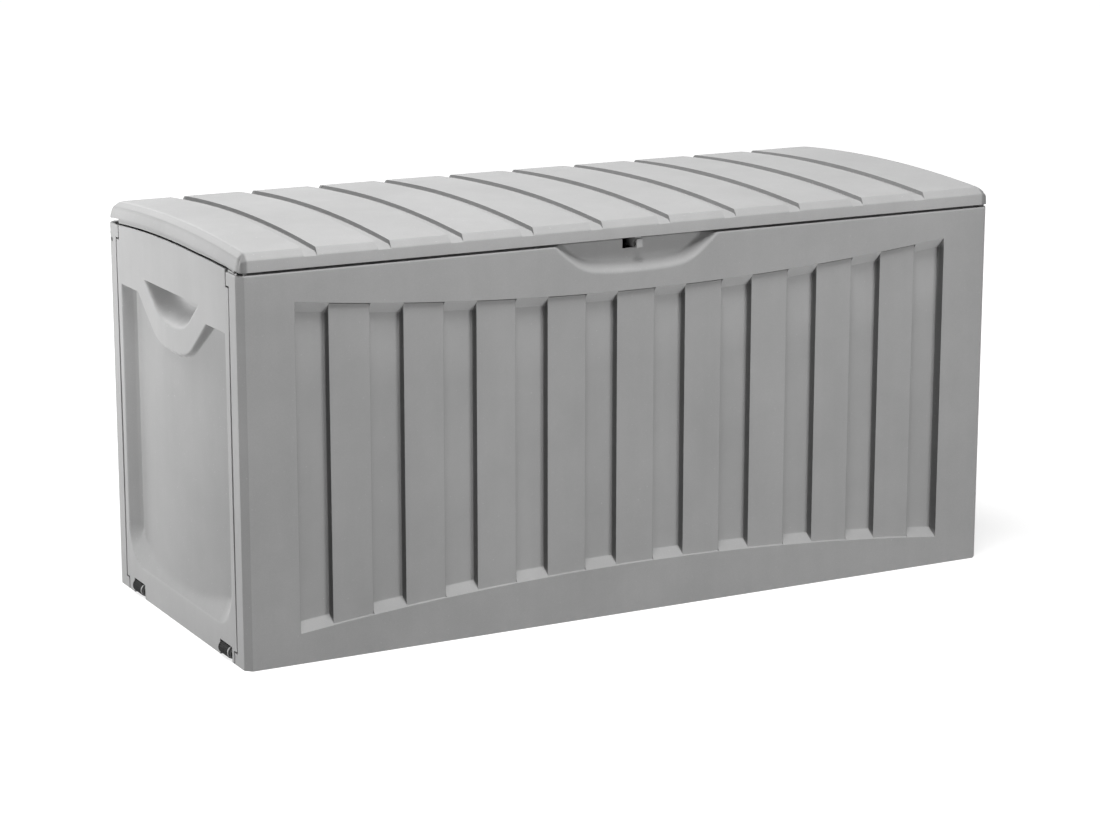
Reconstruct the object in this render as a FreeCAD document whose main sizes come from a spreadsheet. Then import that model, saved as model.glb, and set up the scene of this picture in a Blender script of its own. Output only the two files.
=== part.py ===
import FreeCAD, Part
import os
import re
import Sketcher
from FreeCAD import Rotation, Vector

# Outdoor storage chest of moulded panels with a hinged lid, a grip at the front, a carrying scoop in each end
# and two rollers under the left end.
# The origin is the middle of the chest's foot. X runs along the front, Y to the back and Z up.
# All sizes are millimetres and live in one sheet. Every shape reads its sizes from there.

SIZES = {
    # The chest as a whole
    "length": (1200, "along the front"),
    "depth": (492, "front face to back face"),
    "wall_top": (541, "height of the front and back panels"),
    "skin": (3, "wall of every moulding"),
    "corner_chamfer": (9, "flat on the four upright corners"),
    # Front and back panels
    "panel_depth": (20, "thickness of the front and back mouldings"),
    "return_depth": (31, "how far they wrap round the corner"),
    "return_tab": (10, "extra wrap at the top and foot of the corner"),
    "tab_top": (18, "height of the upper tab"),
    "tab_foot": (16, "height of the lower tab"),
    "slat_count": (9, "slats on a panel"),
    "side_border": (80, "plain border at each end of a panel"),
    "slat_width": (60, "face of one slat"),
    "slat_sink": (4, "slats stand this far behind the border"),
    "field_sink": (17, "fields between slats stand this far behind the border"),
    "recess_drop": (70.5, "upper edge of the slatted recess below the panel's top, at its middle"),
    "recess_foot": (72.5, "lower edge of the slatted recess at its middle"),
    "recess_radius": (4541, "both edges are arcs of this radius"),
    "top_ramp": (16, "slope of a field's upper end over its depth"),
    "foot_ramp": (12, "slope of a field's lower end over its depth"),
    "foot_cell_count": (6, "hollows in the foot of a panel"),
    # Grip and lock slot in the front panel
    "grip_mouth": (256, "width of the grip at the top of the panel"),
    "grip_margin": (3, "the grip's own moulding goes this far beyond the grip"),
    "grip_floor": (148, "width of the grip's sill"),
    "grip_tall": (43, "sill below the panel's top, at the face"),
    "grip_drop": (12, "the sill and sides close in by this over the depth"),
    "grip_shoulder": (26, "where the grip's sides turn, below the panel's top"),
    "grip_waist": (212, "width of the grip where its sides turn"),
    "slot_width": (30, "lock slot in the wall behind the grip"),
    "slot_tall": (14, "height of the slot"),
    # Hinge
    "hinge_inset": (15, "hinge line behind the back face"),
    "hinge_drop": (24, "hinge line below the panels' top"),
    "rod_radius": (3, "steel hinge rod"),
    "run_gap": (0.06, "radial play of a turning fit"),
    "screw_gap": (0.05, "radial play round a screw"),
    "rod_short": (0.5, "the rod ends this far inside the corner"),
    "inner_arm": (390, "inner pair of hinge arms from the ends"),
    "outer_arm": (170, "outer pair of hinge arms from the ends"),
    "arm_width": (24, "width of a hinge arm"),
    "arm_play": (1, "side play of an arm in its slot"),
    "eye_radius": (8, "round end of an arm about the rod"),
    "web_front": (6, "arm's web in front of the hinge line"),
    "web_back": (5.4, "arm's web behind the hinge line"),
    "arm_foot": (42, "foot of an arm under the lid, front to back"),
    "foot_thick": (5, "thickness of a foot under the lid"),
    "knuckle": (8, "rib that carries the rod beside an arm"),
    "arm_slot": (12, "the arm's slot reaches this far below the hinge line"),
    # End panels
    "end_depth": (23, "thickness of the end mouldings"),
    "end_border": (48, "border beside the end recess, from the front or back face"),
    "end_recess_drop": (84, "upper edge of the end recess below the panels' top"),
    "end_recess_foot": (48, "lower edge of the end recess"),
    "end_sink": (20, "depth of the end recess at its sides"),
    "end_draft": (6, "the recess narrows by this at each side over its depth"),
    "end_ramp": (33, "slope of the recess's lower edge over its depth"),
    "bulge_sink": (5, "the bulging floor of the recess is this deep in the middle"),
    "bulge_radius": (1314, "radius of the bulging floor"),
    "scoop_depth": (32, "depth of the carrying scoop"),
    "scoop_drop": (62.5, "its overhanging upper edge below the panels' top"),
    "scoop_tall": (51.5, "its height"),
    "scoop_width": (210, "its width under the upper edge"),
    "scoop_floor": (44, "its width at the foot"),
    "scoop_waist": (146, "its width half way down"),
    "scoop_draft": (9, "each side closes in by this over the depth"),
    "apron_width": (262, "the collar round the scoop, at the recess's upper edge"),
    "apron_waist": (196, "its width half way down"),
    "apron_floor": (64, "its width at the foot"),
    "apron_tall": (87.5, "from the scoop's upper edge to the collar's lowest point"),
    # Corner screws
    "screw_inset": (13, "corner screws from the end face"),
    "screw_low": (110, "lowest corner screw"),
    "screw_step": (110, "from one corner screw to the next"),
    "corner_screw_count": (4, "screws up each corner"),
    "screw_radius": (2, "shank of every screw"),
    "head_radius": (4, "head of every screw"),
    "head_thick": (2.5, "height of a screw's head"),
    "corner_shank": (16, "shank of a corner screw"),
    "boss_radius": (6, "boss that takes a corner screw"),
    # Floor
    "floor_top": (23, "height of the chest's floor"),
    "floor_fit": (0.3, "play round the floor"),
    "rib_clear": (5, "ribs under the floor stay this far above the ground"),
    "long_rib_count": (3, "ribs under the floor along the length"),
    "cross_rib_count": (7, "ribs under the floor from front to back"),
    "floor_screw_height": (10, "screws through the floor's skirt"),
    "floor_shank": (10, "shank of a floor screw"),
    # Rollers
    "roller_radius": (10, "roller under the left end"),
    "roller_width": (30, "tread of a roller"),
    "roller_inset": (79, "middle of a roller from the front or back face"),
    "roller_proud": (3.5, "a roller stands out of the end face"),
    "roller_lift": (0.5, "a roller hangs above the ground"),
    "roller_play": (0.5, "side play and play above a roller"),
    "axle_radius": (3, "pin that carries a roller"),
    "axle_seat": (8, "pin's hold in the moulding behind the roller"),
    "lug_thick": (3, "lug that carries the pin's front end"),
    "axle_head": (8, "radius of the pin's head"),
    "axle_head_long": (8.5, "length of the pin's head"),
    # Lid
    "lid_gap": (6, "dark gap between the panels and the lid"),
    "lid_height": (22.5, "lid above its skirt's edge, at the front"),
    "arch_radius": (2860, "the lid's top is an arch from front to back"),
    "lid_thick": (10, "lid's top at a rib"),
    "front_bevel": (11, "bevel along the front and back"),
    "end_bevel": (12, "bevel at the ends, measured inward"),
    "end_bevel_drop": (20.5, "bevel at the ends, measured down"),
    "rim": (9, "thickness of the lid's rim"),
    "rim_step": (6, "outer part of the rim, which ends higher"),
    "lip_drop": (5, "inner lip below the skirt's edge"),
    "lip_stop": (36, "inner lip ends this far from the back"),
    "groove_count": (10, "stepped grooves across the lid"),
    "groove_margin": (114.9, "first and last groove from the ends"),
    "groove_run": (31, "slope that leads down to a groove's steep side"),
    "groove_drop": (6, "depth of a groove at its steep side"),
    "band": (48, "thick band along the lid's front and back edges"),
    "panel_under_lid": (0.5, "the end panels' arched top lies this far below the inner lip"),
    # Lock tab
    "tab_thick": (10, "lock tab from side to side"),
    "tab_place": (5, "lock tab's middle, right of the chest's middle"),
    "tab_nose": (3, "tab's nose behind the front face"),
    "tab_back": (34, "tab's back behind the front face"),
    "tab_foot_half": (18, "half the width of the tab's foot"),
    "tab_screw": (12, "tab's screws from its middle"),
    "padlock_radius": (4, "hole for a padlock's shackle"),
    "padlock_inset": (9.2, "that hole behind the front face"),
    "padlock_drop": (7.4, "that hole below the panels' top"),
    "lid_shank": (11, "shank of a screw into the lid"),
}

doc = FreeCAD.newDocument("StorageChest")
sheet = doc.addObject("Spreadsheet::Sheet", "Sizes")
for row, (name, (value, note)) in enumerate(SIZES.items(), start=1):
    sheet.set("A%d" % row, name)
    sheet.set("B%d" % row, str(value))
    sheet.set("C%d" % row, note)
    sheet.setAlias("B%d" % row, name)
doc.recompute()

# Formulas that several pieces share. Words in them are names in the sheet.
FRONT = "(-depth/2)"
PANEL_BACK = "(-depth/2 + panel_depth)"
END = "(-length/2)"
END_BACK = "(-length/2 + end_depth)"
CORNER_SOLID = "(corner_chamfer + skin)"
RECESS_HALF = "(length/2 - side_border)"
SLAT_PITCH = "((2*%s + slat_width)/(slat_count + 1))" % RECESS_HALF
RECESS_TOP = "(wall_top - recess_drop)"
RECESS_SAG = "(recess_radius - sqrt(recess_radius^2 - %s^2))" % RECESS_HALF
HINGE_Y = "(depth/2 - hinge_inset)"
HINGE_Z = "(wall_top - hinge_drop)"
SLOT_FOOT = "(wall_top - slot_tall)"
GRIP_HALF = "(grip_mouth/2 + grip_margin)"
GRIP_FOOT = "(wall_top - grip_tall - grip_margin)"
END_RECESS = "(depth/2 - end_border)"
END_RECESS_TOP = "(wall_top - end_recess_drop)"
SCOOP_TOP = "(wall_top - scoop_drop)"
SCOOP_FOOT = "(wall_top - scoop_drop - scoop_tall)"
APRON_FOOT = "(wall_top - scoop_drop - apron_tall)"
ROLLER_Y = "(depth/2 - roller_inset)"
AXLE = ("(-length/2 - roller_proud + roller_radius)", "(roller_radius + roller_lift)")
GROOVE_PITCH = "((length - 2*groove_margin)/(groove_count - 1))"
LID_EDGE = "(wall_top + lid_gap)"
ARCH_RISE = "(arch_radius - sqrt(arch_radius^2 - depth^2/4))"
CROWN = "(wall_top + lid_gap + lid_height + arch_radius - sqrt(arch_radius^2 - depth^2/4))"
ARCH_CENTRE = "(wall_top + lid_gap + lid_height - sqrt(arch_radius^2 - depth^2/4))"
SKIRT_RADIUS = "(arch_radius - lid_height)"
CEILING = "(arch_radius - lid_thick)"
BEYOND = 1


def formula(text):
    """Point every sheet name in a formula at the sheet."""
    def pointed(word):
        return "Sizes." + word[0] if word[0] in SIZES else word[0]
    return re.sub(r"[A-Za-z_]\w*", pointed, str(text))


def count(name):
    return round(SIZES[name][0])


def bind(thing, **formulas):
    for key, text in formulas.items():
        thing.setExpression(key.replace("__", "."), formula(text))
    return thing


def place(thing, x=0, y=0, z=0, turn=None):
    if turn is not None:
        thing.Placement.Rotation = turn
    return bind(thing, Placement__Base__x=x, Placement__Base__y=y, Placement__Base__z=z)


def box(name, x, y, z):
    """A block between two formulas on each axis."""
    block = doc.addObject("Part::Box", name)
    bind(block, Length="(%s) - (%s)" % (x[1], x[0]), Width="(%s) - (%s)" % (y[1], y[0]),
         Height="(%s) - (%s)" % (z[1], z[0]))
    return place(block, x[0], y[0], z[0])


TURNS = {
    "X": Rotation(Vector(0, 1, 0), 90),
    "Y": Rotation(Vector(1, 0, 0), -90),
    "Z": Rotation(),
}


def round_bar(name, axis, start, long, radius, far_radius=None):
    """A cylinder, or a cone where far_radius is given, from start (x, y, z) along an axis."""
    if far_radius is None:
        bar = bind(doc.addObject("Part::Cylinder", name), Radius=radius, Height=long)
    else:
        bar = bind(doc.addObject("Part::Cone", name), Radius1=radius, Radius2=far_radius, Height=long)
    return place(bar, *start, turn=TURNS[axis])


def join(name, pieces):
    whole = doc.addObject("Part::MultiFuse", name)
    whole.Shapes = pieces
    whole.Refine = True
    return whole


def overlap(name, pieces):
    shared = doc.addObject("Part::MultiCommon", name)
    shared.Shapes = pieces
    return shared


def carve(name, solid, tools):
    rest = doc.addObject("Part::Cut", name)
    rest.Base = solid
    rest.Tool = tools[0] if len(tools) == 1 else join(name + "_tools", tools)
    rest.Refine = True
    return rest


def group(name, pieces):
    together = doc.addObject("Part::Compound", name)
    together.Links = pieces
    return together


PLANES = {
    "XZ": Rotation(Vector(1, 0, 0), 90),
    "YZ": Rotation(Vector(1, 1, 1), 120),
}


def outline(name, plane, corners, at):
    """A closed outline of straight sides whose corners are pairs of formulas, in a plane through at."""
    sketch = doc.addObject("Sketcher::SketchObject", name)
    place(sketch, *at, turn=PLANES[plane])
    spots = [Vector(*[float(sketch.evalExpression(formula(part))) for part in corner], 0)
             for corner in corners]
    sides = len(spots)
    sketch.addGeometry([Part.LineSegment(spots[i], spots[(i + 1) % sides]) for i in range(sides)])
    start, end, root = 1, 2, -1
    rules = [Sketcher.Constraint("Coincident", i, end, (i + 1) % sides, start) for i in range(sides)]
    for i, spot in enumerate(spots):
        rules.append(Sketcher.Constraint("DistanceX", root, 1, i, start, spot.x))
        rules.append(Sketcher.Constraint("DistanceY", root, 1, i, start, spot.y))
    sketch.addConstraint(rules)
    for i, (across, up) in enumerate(corners):
        sketch.setExpression("Constraints[%d]" % (sides + 2 * i), formula(across))
        sketch.setExpression("Constraints[%d]" % (sides + 2 * i + 1), formula(up))
    return sketch


def mirrored(half):
    """Corners given for the positive side, from top to bottom, completed on the negative side."""
    return half + [("-(%s)" % across, up) for across, up in reversed(half)]


def between(name, near, far):
    """A solid that runs from one outline to another with straight sides."""
    loft = doc.addObject("Part::Loft", name)
    loft.Sections = [near, far]
    loft.Solid = True
    loft.Ruled = True
    return loft


def half_turn(piece):
    """Turn a finished piece about the chest's upright axis, to the other side of the chest."""
    piece.Placement = FreeCAD.Placement(Vector(0, 0, 0), Rotation(Vector(0, 0, 1), 180))
    return piece


def screw(name, axis, start, shank, head_first=True):
    """One screw with its shank from start along an axis, and its head at that start or at the far end."""
    step = {"X": 0, "Y": 1, "Z": 2}[axis]
    head_at = list(start)
    head_at[step] = "%s - head_thick" % start[step] if head_first else "%s + %s" % (start[step], shank)
    return join(name, [round_bar(name + "_shank", axis, start, shank, "screw_radius"),
                       round_bar(name + "_head", axis, head_at, "head_thick", "head_radius")])


def screw_heights():
    return ["screw_low + %d*screw_step" % row for row in range(count("corner_screw_count"))]


# The floor's screws sit half way between its ribs: in cells along the length, in shares of the half width.
LONG_SCREWS = [-2.5, -0.5, 0.5, 2.5]
END_SCREWS = [-0.25, 0.25]
FLOOR_HALF_X = "(length/2 - end_depth - floor_fit)"
FLOOR_HALF_Y = "(depth/2 - panel_depth - floor_fit)"
FLOOR_CELL = "(2*%s/(cross_rib_count + 1))" % FLOOR_HALF_X


def panel_recess(name):
    """All that is sunk into the outer face: the slats' level, the deep fields and their sloping ends."""
    slats = box(name + "_slats", ("-" + RECESS_HALF, RECESS_HALF),
                (FRONT + " - %d" % BEYOND, FRONT + " + slat_sink"), ("0", "wall_top"))
    fields = []
    for i in range(count("slat_count") + 1):
        middle = "(%g*%s)" % (i - count("slat_count") / 2, SLAT_PITCH)
        half = "(%s - slat_width)/2" % SLAT_PITCH
        fields.append(box("%s_field_%d" % (name, i), ("%s - %s" % (middle, half), "%s + %s" % (middle, half)),
                          (FRONT + " - %d" % BEYOND, FRONT + " + field_sink"), ("0", "wall_top")))
    above = round_bar(name + "_above", "Y", ("0", FRONT, RECESS_TOP + " + recess_radius"), "field_sink",
                      "recess_radius", "recess_radius + top_ramp")
    below = round_bar(name + "_below", "Y", ("0", FRONT, "recess_foot - recess_radius"), "field_sink",
                      "recess_radius", "recess_radius + foot_ramp")
    return carve(name, join(name + "_sunk", [slats] + fields), [above, below])


def panel_hollows(name, top_spans):
    """Hollows that keep the moulding to one wall thickness, seen from inside and from below."""
    inside = (FRONT + " + skin", PANEL_BACK + " + %d" % BEYOND)
    hollows = []
    for i in range(count("slat_count")):
        step = i - (count("slat_count") - 1) / 2
        middle = "(%g*%s)" % (step, SLAT_PITCH)
        near_edge = "(%g*%s - slat_width/2)" % (abs(step), SLAT_PITCH) if step else "0"
        sag = "(recess_radius - sqrt(recess_radius^2 - %s^2))" % near_edge
        hollows.append(box("%s_slat_%d" % (name, i),
                           ("%s - slat_width/2 + skin" % middle, "%s + slat_width/2 - skin" % middle),
                           (FRONT + " + slat_sink + skin", inside[1]),
                           ("recess_foot - " + sag, RECESS_TOP + " + " + sag)))
    side = (RECESS_HALF + " + skin", "length/2 - " + CORNER_SOLID)
    top = ("%s + %s + skin" % (RECESS_TOP, RECESS_SAG), "wall_top - skin")
    for i, (near, far) in enumerate([side, ("-(%s)" % side[1], "-(%s)" % side[0])]):
        hollows.append(box("%s_side_%d" % (name, i), (near, far), inside,
                           ("recess_foot", top[0] + " - skin")))
    for i, span in enumerate(top_spans):
        hollows.append(box("%s_top_%d" % (name, i), span, inside, top))
    cell = "((length - 2*%s)/foot_cell_count)" % CORNER_SOLID
    for i in range(count("foot_cell_count")):
        left = "-length/2 + %s + %d*%s" % (CORNER_SOLID, i, cell)
        hollows.append(box("%s_foot_%d" % (name, i), (left + " + skin/2", left + " + %s - skin/2" % cell),
                           (FRONT + " + skin", PANEL_BACK + " - skin"),
                           ("-%d" % BEYOND, "recess_foot - %s - skin" % RECESS_SAG)))
    return hollows


def long_panel(name, top_spans, more_cuts):
    """A front or back panel, in the front's place. It wraps round both corners."""
    parts = [box(name + "_block", (END, "length/2"), (FRONT, PANEL_BACK), ("0", "wall_top"))]
    corners = []
    for side, outer, inner in (("left", END, END + " + skin"), ("right", "length/2 - skin", "length/2")):
        wrap = FRONT + " + return_depth"
        parts.append(box("%s_%s_return" % (name, side), (outer, inner), (FRONT, wrap), ("0", "wall_top")))
        parts.append(box("%s_%s_upper_tab" % (name, side), (outer, inner), (FRONT, wrap + " + return_tab"),
                         ("wall_top - tab_top", "wall_top")))
        parts.append(box("%s_%s_lower_tab" % (name, side), (outer, inner), (FRONT, wrap + " + return_tab"),
                         ("0", "tab_foot")))
        knife = box("%s_%s_chamfer" % (name, side), ("0", "corner_chamfer*sqrt(2)"),
                    ("0", "corner_chamfer*sqrt(2)"), ("-%d" % BEYOND, "wall_top + %d" % BEYOND))
        corners.append(place(knife, END if side == "left" else "length/2", FRONT + " - corner_chamfer",
                             -BEYOND, Rotation(Vector(0, 0, 1), 45)))
    blank = join(name + "_blank", parts)
    hollowed = carve(name + "_hollowed", blank, corners + [panel_recess(name + "_recess")]
                     + panel_hollows(name + "_hollow", top_spans))
    bosses = []
    cuts = list(more_cuts)
    for side in (-1, 1):
        across = "%d*(length/2 - screw_inset)" % side
        for row, height in enumerate(screw_heights()):
            tag = "%s_boss_%d_%d" % (name, side + 1, row)
            bosses.append(round_bar(tag, "Y", (across, FRONT + " + 2*skin", height), "panel_depth - 2*skin",
                                    "boss_radius"))
            cuts.append(round_bar(tag + "_hole", "Y", (across, PANEL_BACK + " - corner_shank + skin", height),
                                  "corner_shank", "screw_radius + screw_gap"))
    for i, share in enumerate(LONG_SCREWS):
        cuts.append(round_bar("%s_floor_hole_%d" % (name, i), "Y",
                              ("%g*%s" % (share, FLOOR_CELL), PANEL_BACK + " - 2*skin", "floor_screw_height"),
                              "2*skin + %d" % BEYOND, "screw_radius + screw_gap"))
    return carve(name, join(name + "_bossed", [hollowed] + bosses), cuts)


def grip_outline(name, at, closing, top):
    """The grip's shape: a shallow bowl, open at the top of the panel."""
    return outline(name, "XZ", mirrored([
        ("grip_mouth/2 - %s" % closing, top),
        ("grip_waist/2 - %s" % closing, "wall_top - grip_shoulder + %s" % closing),
        ("grip_floor/2 - %s" % closing, "wall_top - grip_tall + %s" % closing)]), ("0", at, "0"))


# Front panel: slatted face, with a notch at the middle of its upper edge for the grip.
OVER_TOP = "wall_top + %d" % BEYOND
THROUGH_PANEL = (FRONT + " - %d" % BEYOND, PANEL_BACK + " + %d" % BEYOND)
grip_notch = box("grip_notch", ("-" + GRIP_HALF, GRIP_HALF), THROUGH_PANEL, (GRIP_FOOT, OVER_TOP))
front_spans = [(GRIP_HALF + " + skin", "length/2 - " + CORNER_SOLID),
               ("-length/2 + " + CORNER_SOLID, "-%s - skin" % GRIP_HALF)]
front_panel = long_panel("front_panel", front_spans, [grip_notch])

# Hand grip: the middle of the front moulding's upper edge, with a lock slot in the wall behind the grip.
front_grip = carve("front_grip", box("grip_block", ("-" + GRIP_HALF, GRIP_HALF), (FRONT, PANEL_BACK),
                                     (GRIP_FOOT, "wall_top")),
                   [between("grip", grip_outline("grip_front", FRONT, "0", OVER_TOP),
                            grip_outline("grip_back", FRONT + " + field_sink", "grip_drop", OVER_TOP)),
                    box("lock_slot", ("-slot_width/2", "slot_width/2"), THROUGH_PANEL,
                        (SLOT_FOOT, OVER_TOP))])

# Back panel: the same moulding turned about. Ribs in its upper edge carry the hinge rod beside each arm's
# slot, and the rod goes in from the left end, where its end shows in the corner.
ARMS = ["(outer_arm - length/2)", "(inner_arm - length/2)",
        "(length/2 - inner_arm)", "(length/2 - outer_arm)"]
SLOT_HALF = "(arm_width/2 + arm_play)"
edges = ["-length/2 + " + CORNER_SOLID]
arm_slots = []
for i, arm in enumerate(ARMS):
    edges += ["%s - %s - knuckle" % (arm, SLOT_HALF), "%s + %s + knuckle" % (arm, SLOT_HALF)]
    arm_slots.append(box("arm_slot_%d" % i, ("%s - %s" % (arm, SLOT_HALF), "%s + %s" % (arm, SLOT_HALF)),
                         THROUGH_PANEL, (HINGE_Z + " - arm_slot", OVER_TOP)))
edges.append("length/2 - " + CORNER_SOLID)
rod_hole = round_bar("rod_hole", "X", (END + " + skin", FRONT + " + hinge_inset", HINGE_Z), "length",
                     "rod_radius + run_gap")
back_panel = half_turn(long_panel("back_panel", list(zip(edges[::2], edges[1::2])), arm_slots + [rod_hole]))

# Hinge rod: one steel rod the length of the chest.
hinge_rod = round_bar("hinge_rod", "X", (END + " + rod_short", HINGE_Y, HINGE_Z),
                      "length - rod_short - skin - rod_short", "rod_radius")


def scoop_outline(name, at, widths, foot, closing, top):
    """A wide flat-topped bowl that narrows to its foot; its widths are at the top, half way and the foot."""
    return outline(name, "YZ", mirrored([
        ("%s/2 - %s" % (widths[0], closing), top),
        ("%s/2 - %s" % (widths[1], closing), "(%s + %s)/2 - skin" % (foot, SCOOP_TOP)),
        ("%s/2 - %s" % (widths[2], closing), "%s + %s" % (foot, closing))]), (at, "0", "0"))


SCOOP = ("scoop_width", "scoop_waist", "scoop_floor")
APRON = ("apron_width", "apron_waist", "apron_floor")


def roller_bay(name, sign):
    """Well for one roller, for the pin's head in front of it, and the pin's hole."""
    middle = "%d*%s" % (sign, ROLLER_Y)
    near = "%s - roller_width/2 - roller_play" % middle
    lug_front = near + " - lug_thick"
    x, z = AXLE
    low = "-%d" % BEYOND
    outside = END + " - %d" % BEYOND
    well = box(name + "_well", (outside, x + " + roller_radius + 2*roller_play"),
               (near, "%s + roller_width/2 + roller_play" % middle),
               (low, z + " + roller_radius + 2*roller_play"))
    head_room = box(name + "_head_room", (outside, x + " + axle_head + roller_play"),
                    (lug_front + " - axle_head_long - roller_play", lug_front),
                    (low, z + " + axle_head + roller_play"))
    hole = round_bar(name + "_pin_hole", "Y", (x, lug_front + " - %d" % BEYOND, z),
                     "roller_width + 2*roller_play + lug_thick + axle_seat + %d" % BEYOND,
                     "axle_radius + screw_gap")
    lug = round_bar(name + "_lug", "Y", (x, lug_front, z), "lug_thick", "axle_head + roller_play")
    return [well, head_room], lug, hole


def end_panel(name, rollers):
    """An end panel, in the left end's place: a recess with a bulging floor, and a scoop in a collar."""
    wrap = "(depth/2 - return_depth)"
    behind = "(depth/2 - panel_depth)"
    tall = "wall_top + " + ARCH_RISE
    face = box(name + "_face", (END, END_BACK), ("-" + wrap, wrap), ("0", tall))
    tongue = box(name + "_tongue", (END + " + skin", END_BACK), ("-" + behind, behind), ("0", tall))
    steps = []
    for side in (-1, 1):
        edge = ("%s - return_tab" % wrap, wrap)
        span = edge if side > 0 else ("-(%s)" % edge[1], "-(%s)" % edge[0])
        wall = (END, END + " + skin")
        steps.append(box("%s_upper_step_%d" % (name, side + 1), wall, span, ("wall_top - tab_top", tall)))
        steps.append(box("%s_lower_step_%d" % (name, side + 1), wall, span, ("0", "tab_foot")))
    cap = round_bar(name + "_cap", "X", (END, "0", ARCH_CENTRE), "end_depth",
                    SKIRT_RADIUS + " - lip_drop - panel_under_lid")
    stepped = carve(name + "_stepped", join(name + "_raw", [face, tongue]), steps)
    blank = overlap(name + "_blank", [stepped, cap])

    recess = doc.addObject("Part::Wedge", name + "_recess")
    bind(recess, Xmin="-" + END_RECESS, Xmax=END_RECESS, Zmin="end_recess_foot", Zmax=END_RECESS_TOP,
         X2min="end_draft - " + END_RECESS, X2max=END_RECESS + " - end_draft",
         Z2min="end_recess_foot + end_ramp", Z2max=END_RECESS_TOP, Ymin="0", Ymax="end_sink")
    place(recess, END, "0", "0", Rotation(Vector(0, 0, 1), -90))
    inside = (END + " + skin", END_BACK + " + %d" % BEYOND)
    inner_edge = behind + " - skin"
    top_hollow = box(name + "_top_hollow", inside, ("-(%s)" % inner_edge, inner_edge),
                     (END_RECESS_TOP + " + skin", "wall_top - skin"))
    side_span = (END_RECESS + " + skin", inner_edge)
    side_rise = ("end_recess_foot + end_ramp", END_RECESS_TOP)
    hollows = [top_hollow, box(name + "_back_hollow", inside, side_span, side_rise),
               box(name + "_front_hollow", inside, ("-(%s)" % side_span[1], "-(%s)" % side_span[0]),
                   side_rise)]
    cell_half = "(%s - roller_width/2 - roller_play - lug_thick - axle_head_long - 2*skin)" % ROLLER_Y
    hollows.append(box(name + "_foot_hollow", (END + " + skin", END_BACK + " - skin"),
                       ("-" + cell_half, cell_half), ("-%d" % BEYOND, "end_recess_foot - skin")))
    frame = carve(name + "_frame", blank, [recess] + hollows)

    bulge_axis = (END + " + bulge_sink + bulge_radius", "0", "end_recess_foot")
    rise = END_RECESS_TOP + " - end_recess_foot"
    bulge = overlap(name + "_bulge", [
        box(name + "_bulge_room", (END, END_BACK), ("-" + END_RECESS, END_RECESS),
            ("end_recess_foot", END_RECESS_TOP)),
        round_bar(name + "_bulge_skin", "Z", bulge_axis, rise, "bulge_radius")])
    room = overlap(name + "_room", [
        box(name + "_room_box", (END, END_BACK + " + %d" % BEYOND),
            ("end_draft - " + END_RECESS, END_RECESS + " - end_draft"),
            ("end_recess_foot + end_ramp", END_RECESS_TOP + " - skin")),
        round_bar(name + "_room_round", "Z", bulge_axis, rise, "bulge_radius - skin")])
    shell = carve(name + "_shell", join(name + "_filled", [frame, bulge]), [room])

    cup = between(name + "_cup",
                  scoop_outline(name + "_cup_face", END, APRON, APRON_FOOT, "0", SCOOP_TOP + " + 2*skin"),
                  scoop_outline(name + "_cup_back", END + " + scoop_depth + skin", SCOOP, SCOOP_FOOT,
                                "(scoop_draft - skin)", SCOOP_TOP + " + 2*skin"))
    scoop = between(name + "_scoop",
                    scoop_outline(name + "_scoop_face", END, SCOOP, SCOOP_FOOT, "0", SCOOP_TOP),
                    scoop_outline(name + "_scoop_back", END + " + scoop_depth", SCOOP, SCOOP_FOOT,
                                  "scoop_draft", SCOOP_TOP))
    cuts = [scoop]
    lugs = []
    wells = []
    if rollers:
        for sign in (-1, 1):
            rooms, lug, hole = roller_bay("%s_bay_%d" % (name, sign + 1), sign)
            wells += rooms
            lugs.append(lug)
            cuts.append(hole)
    for side in (-1, 1):
        wall_start = "(depth/2 - panel_depth - skin - %d)" % BEYOND
        start = wall_start if side > 0 else "-%s - skin - 2*%d" % (wall_start, BEYOND)
        for row, height in enumerate(screw_heights()):
            cuts.append(round_bar("%s_screw_hole_%d_%d" % (name, side + 1, row), "Y",
                                  (END + " + screw_inset", start, height), "skin + 2*%d" % BEYOND,
                                  "screw_radius + screw_gap"))
    for i, share in enumerate(END_SCREWS):
        cuts.append(round_bar("%s_floor_hole_%d" % (name, i), "X",
                              (END_BACK + " - 2*skin", "%g*%s" % (share, FLOOR_HALF_Y), "floor_screw_height"),
                              "2*skin + %d" % BEYOND, "screw_radius + screw_gap"))
    if wells:
        shell = join(name + "_lugged", [carve(name + "_welled", shell, wells)] + lugs)
    return carve(name, join(name + "_cupped", [shell, cup]), cuts)


# End panels: the left one carries the rollers.
left_end_panel = end_panel("left_end_panel", True)
right_end_panel = half_turn(end_panel("right_end_panel", False))

# Floor: a tray upside down, whose skirt stands on the ground inside the panels, with ribs beneath.
floor_parts = [carve("floor_tray", box("floor_block", ("-" + FLOOR_HALF_X, FLOOR_HALF_X),
                                       ("-" + FLOOR_HALF_Y, FLOOR_HALF_Y), ("0", "floor_top")),
                     [box("floor_hollow", ("-%s + skin" % FLOOR_HALF_X, "%s - skin" % FLOOR_HALF_X),
                          ("-%s + skin" % FLOOR_HALF_Y, "%s - skin" % FLOOR_HALF_Y),
                          ("-%d" % BEYOND, "floor_top - skin"))])]
for i in range(count("long_rib_count")):
    middle = "(%g*%s)" % (2 * (i + 1) / (count("long_rib_count") + 1) - 1, FLOOR_HALF_Y)
    floor_parts.append(box("floor_long_rib_%d" % i, ("-%s + skin" % FLOOR_HALF_X, "%s - skin" % FLOOR_HALF_X),
                           ("%s - skin/2" % middle, "%s + skin/2" % middle),
                           ("rib_clear", "floor_top - skin")))
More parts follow.
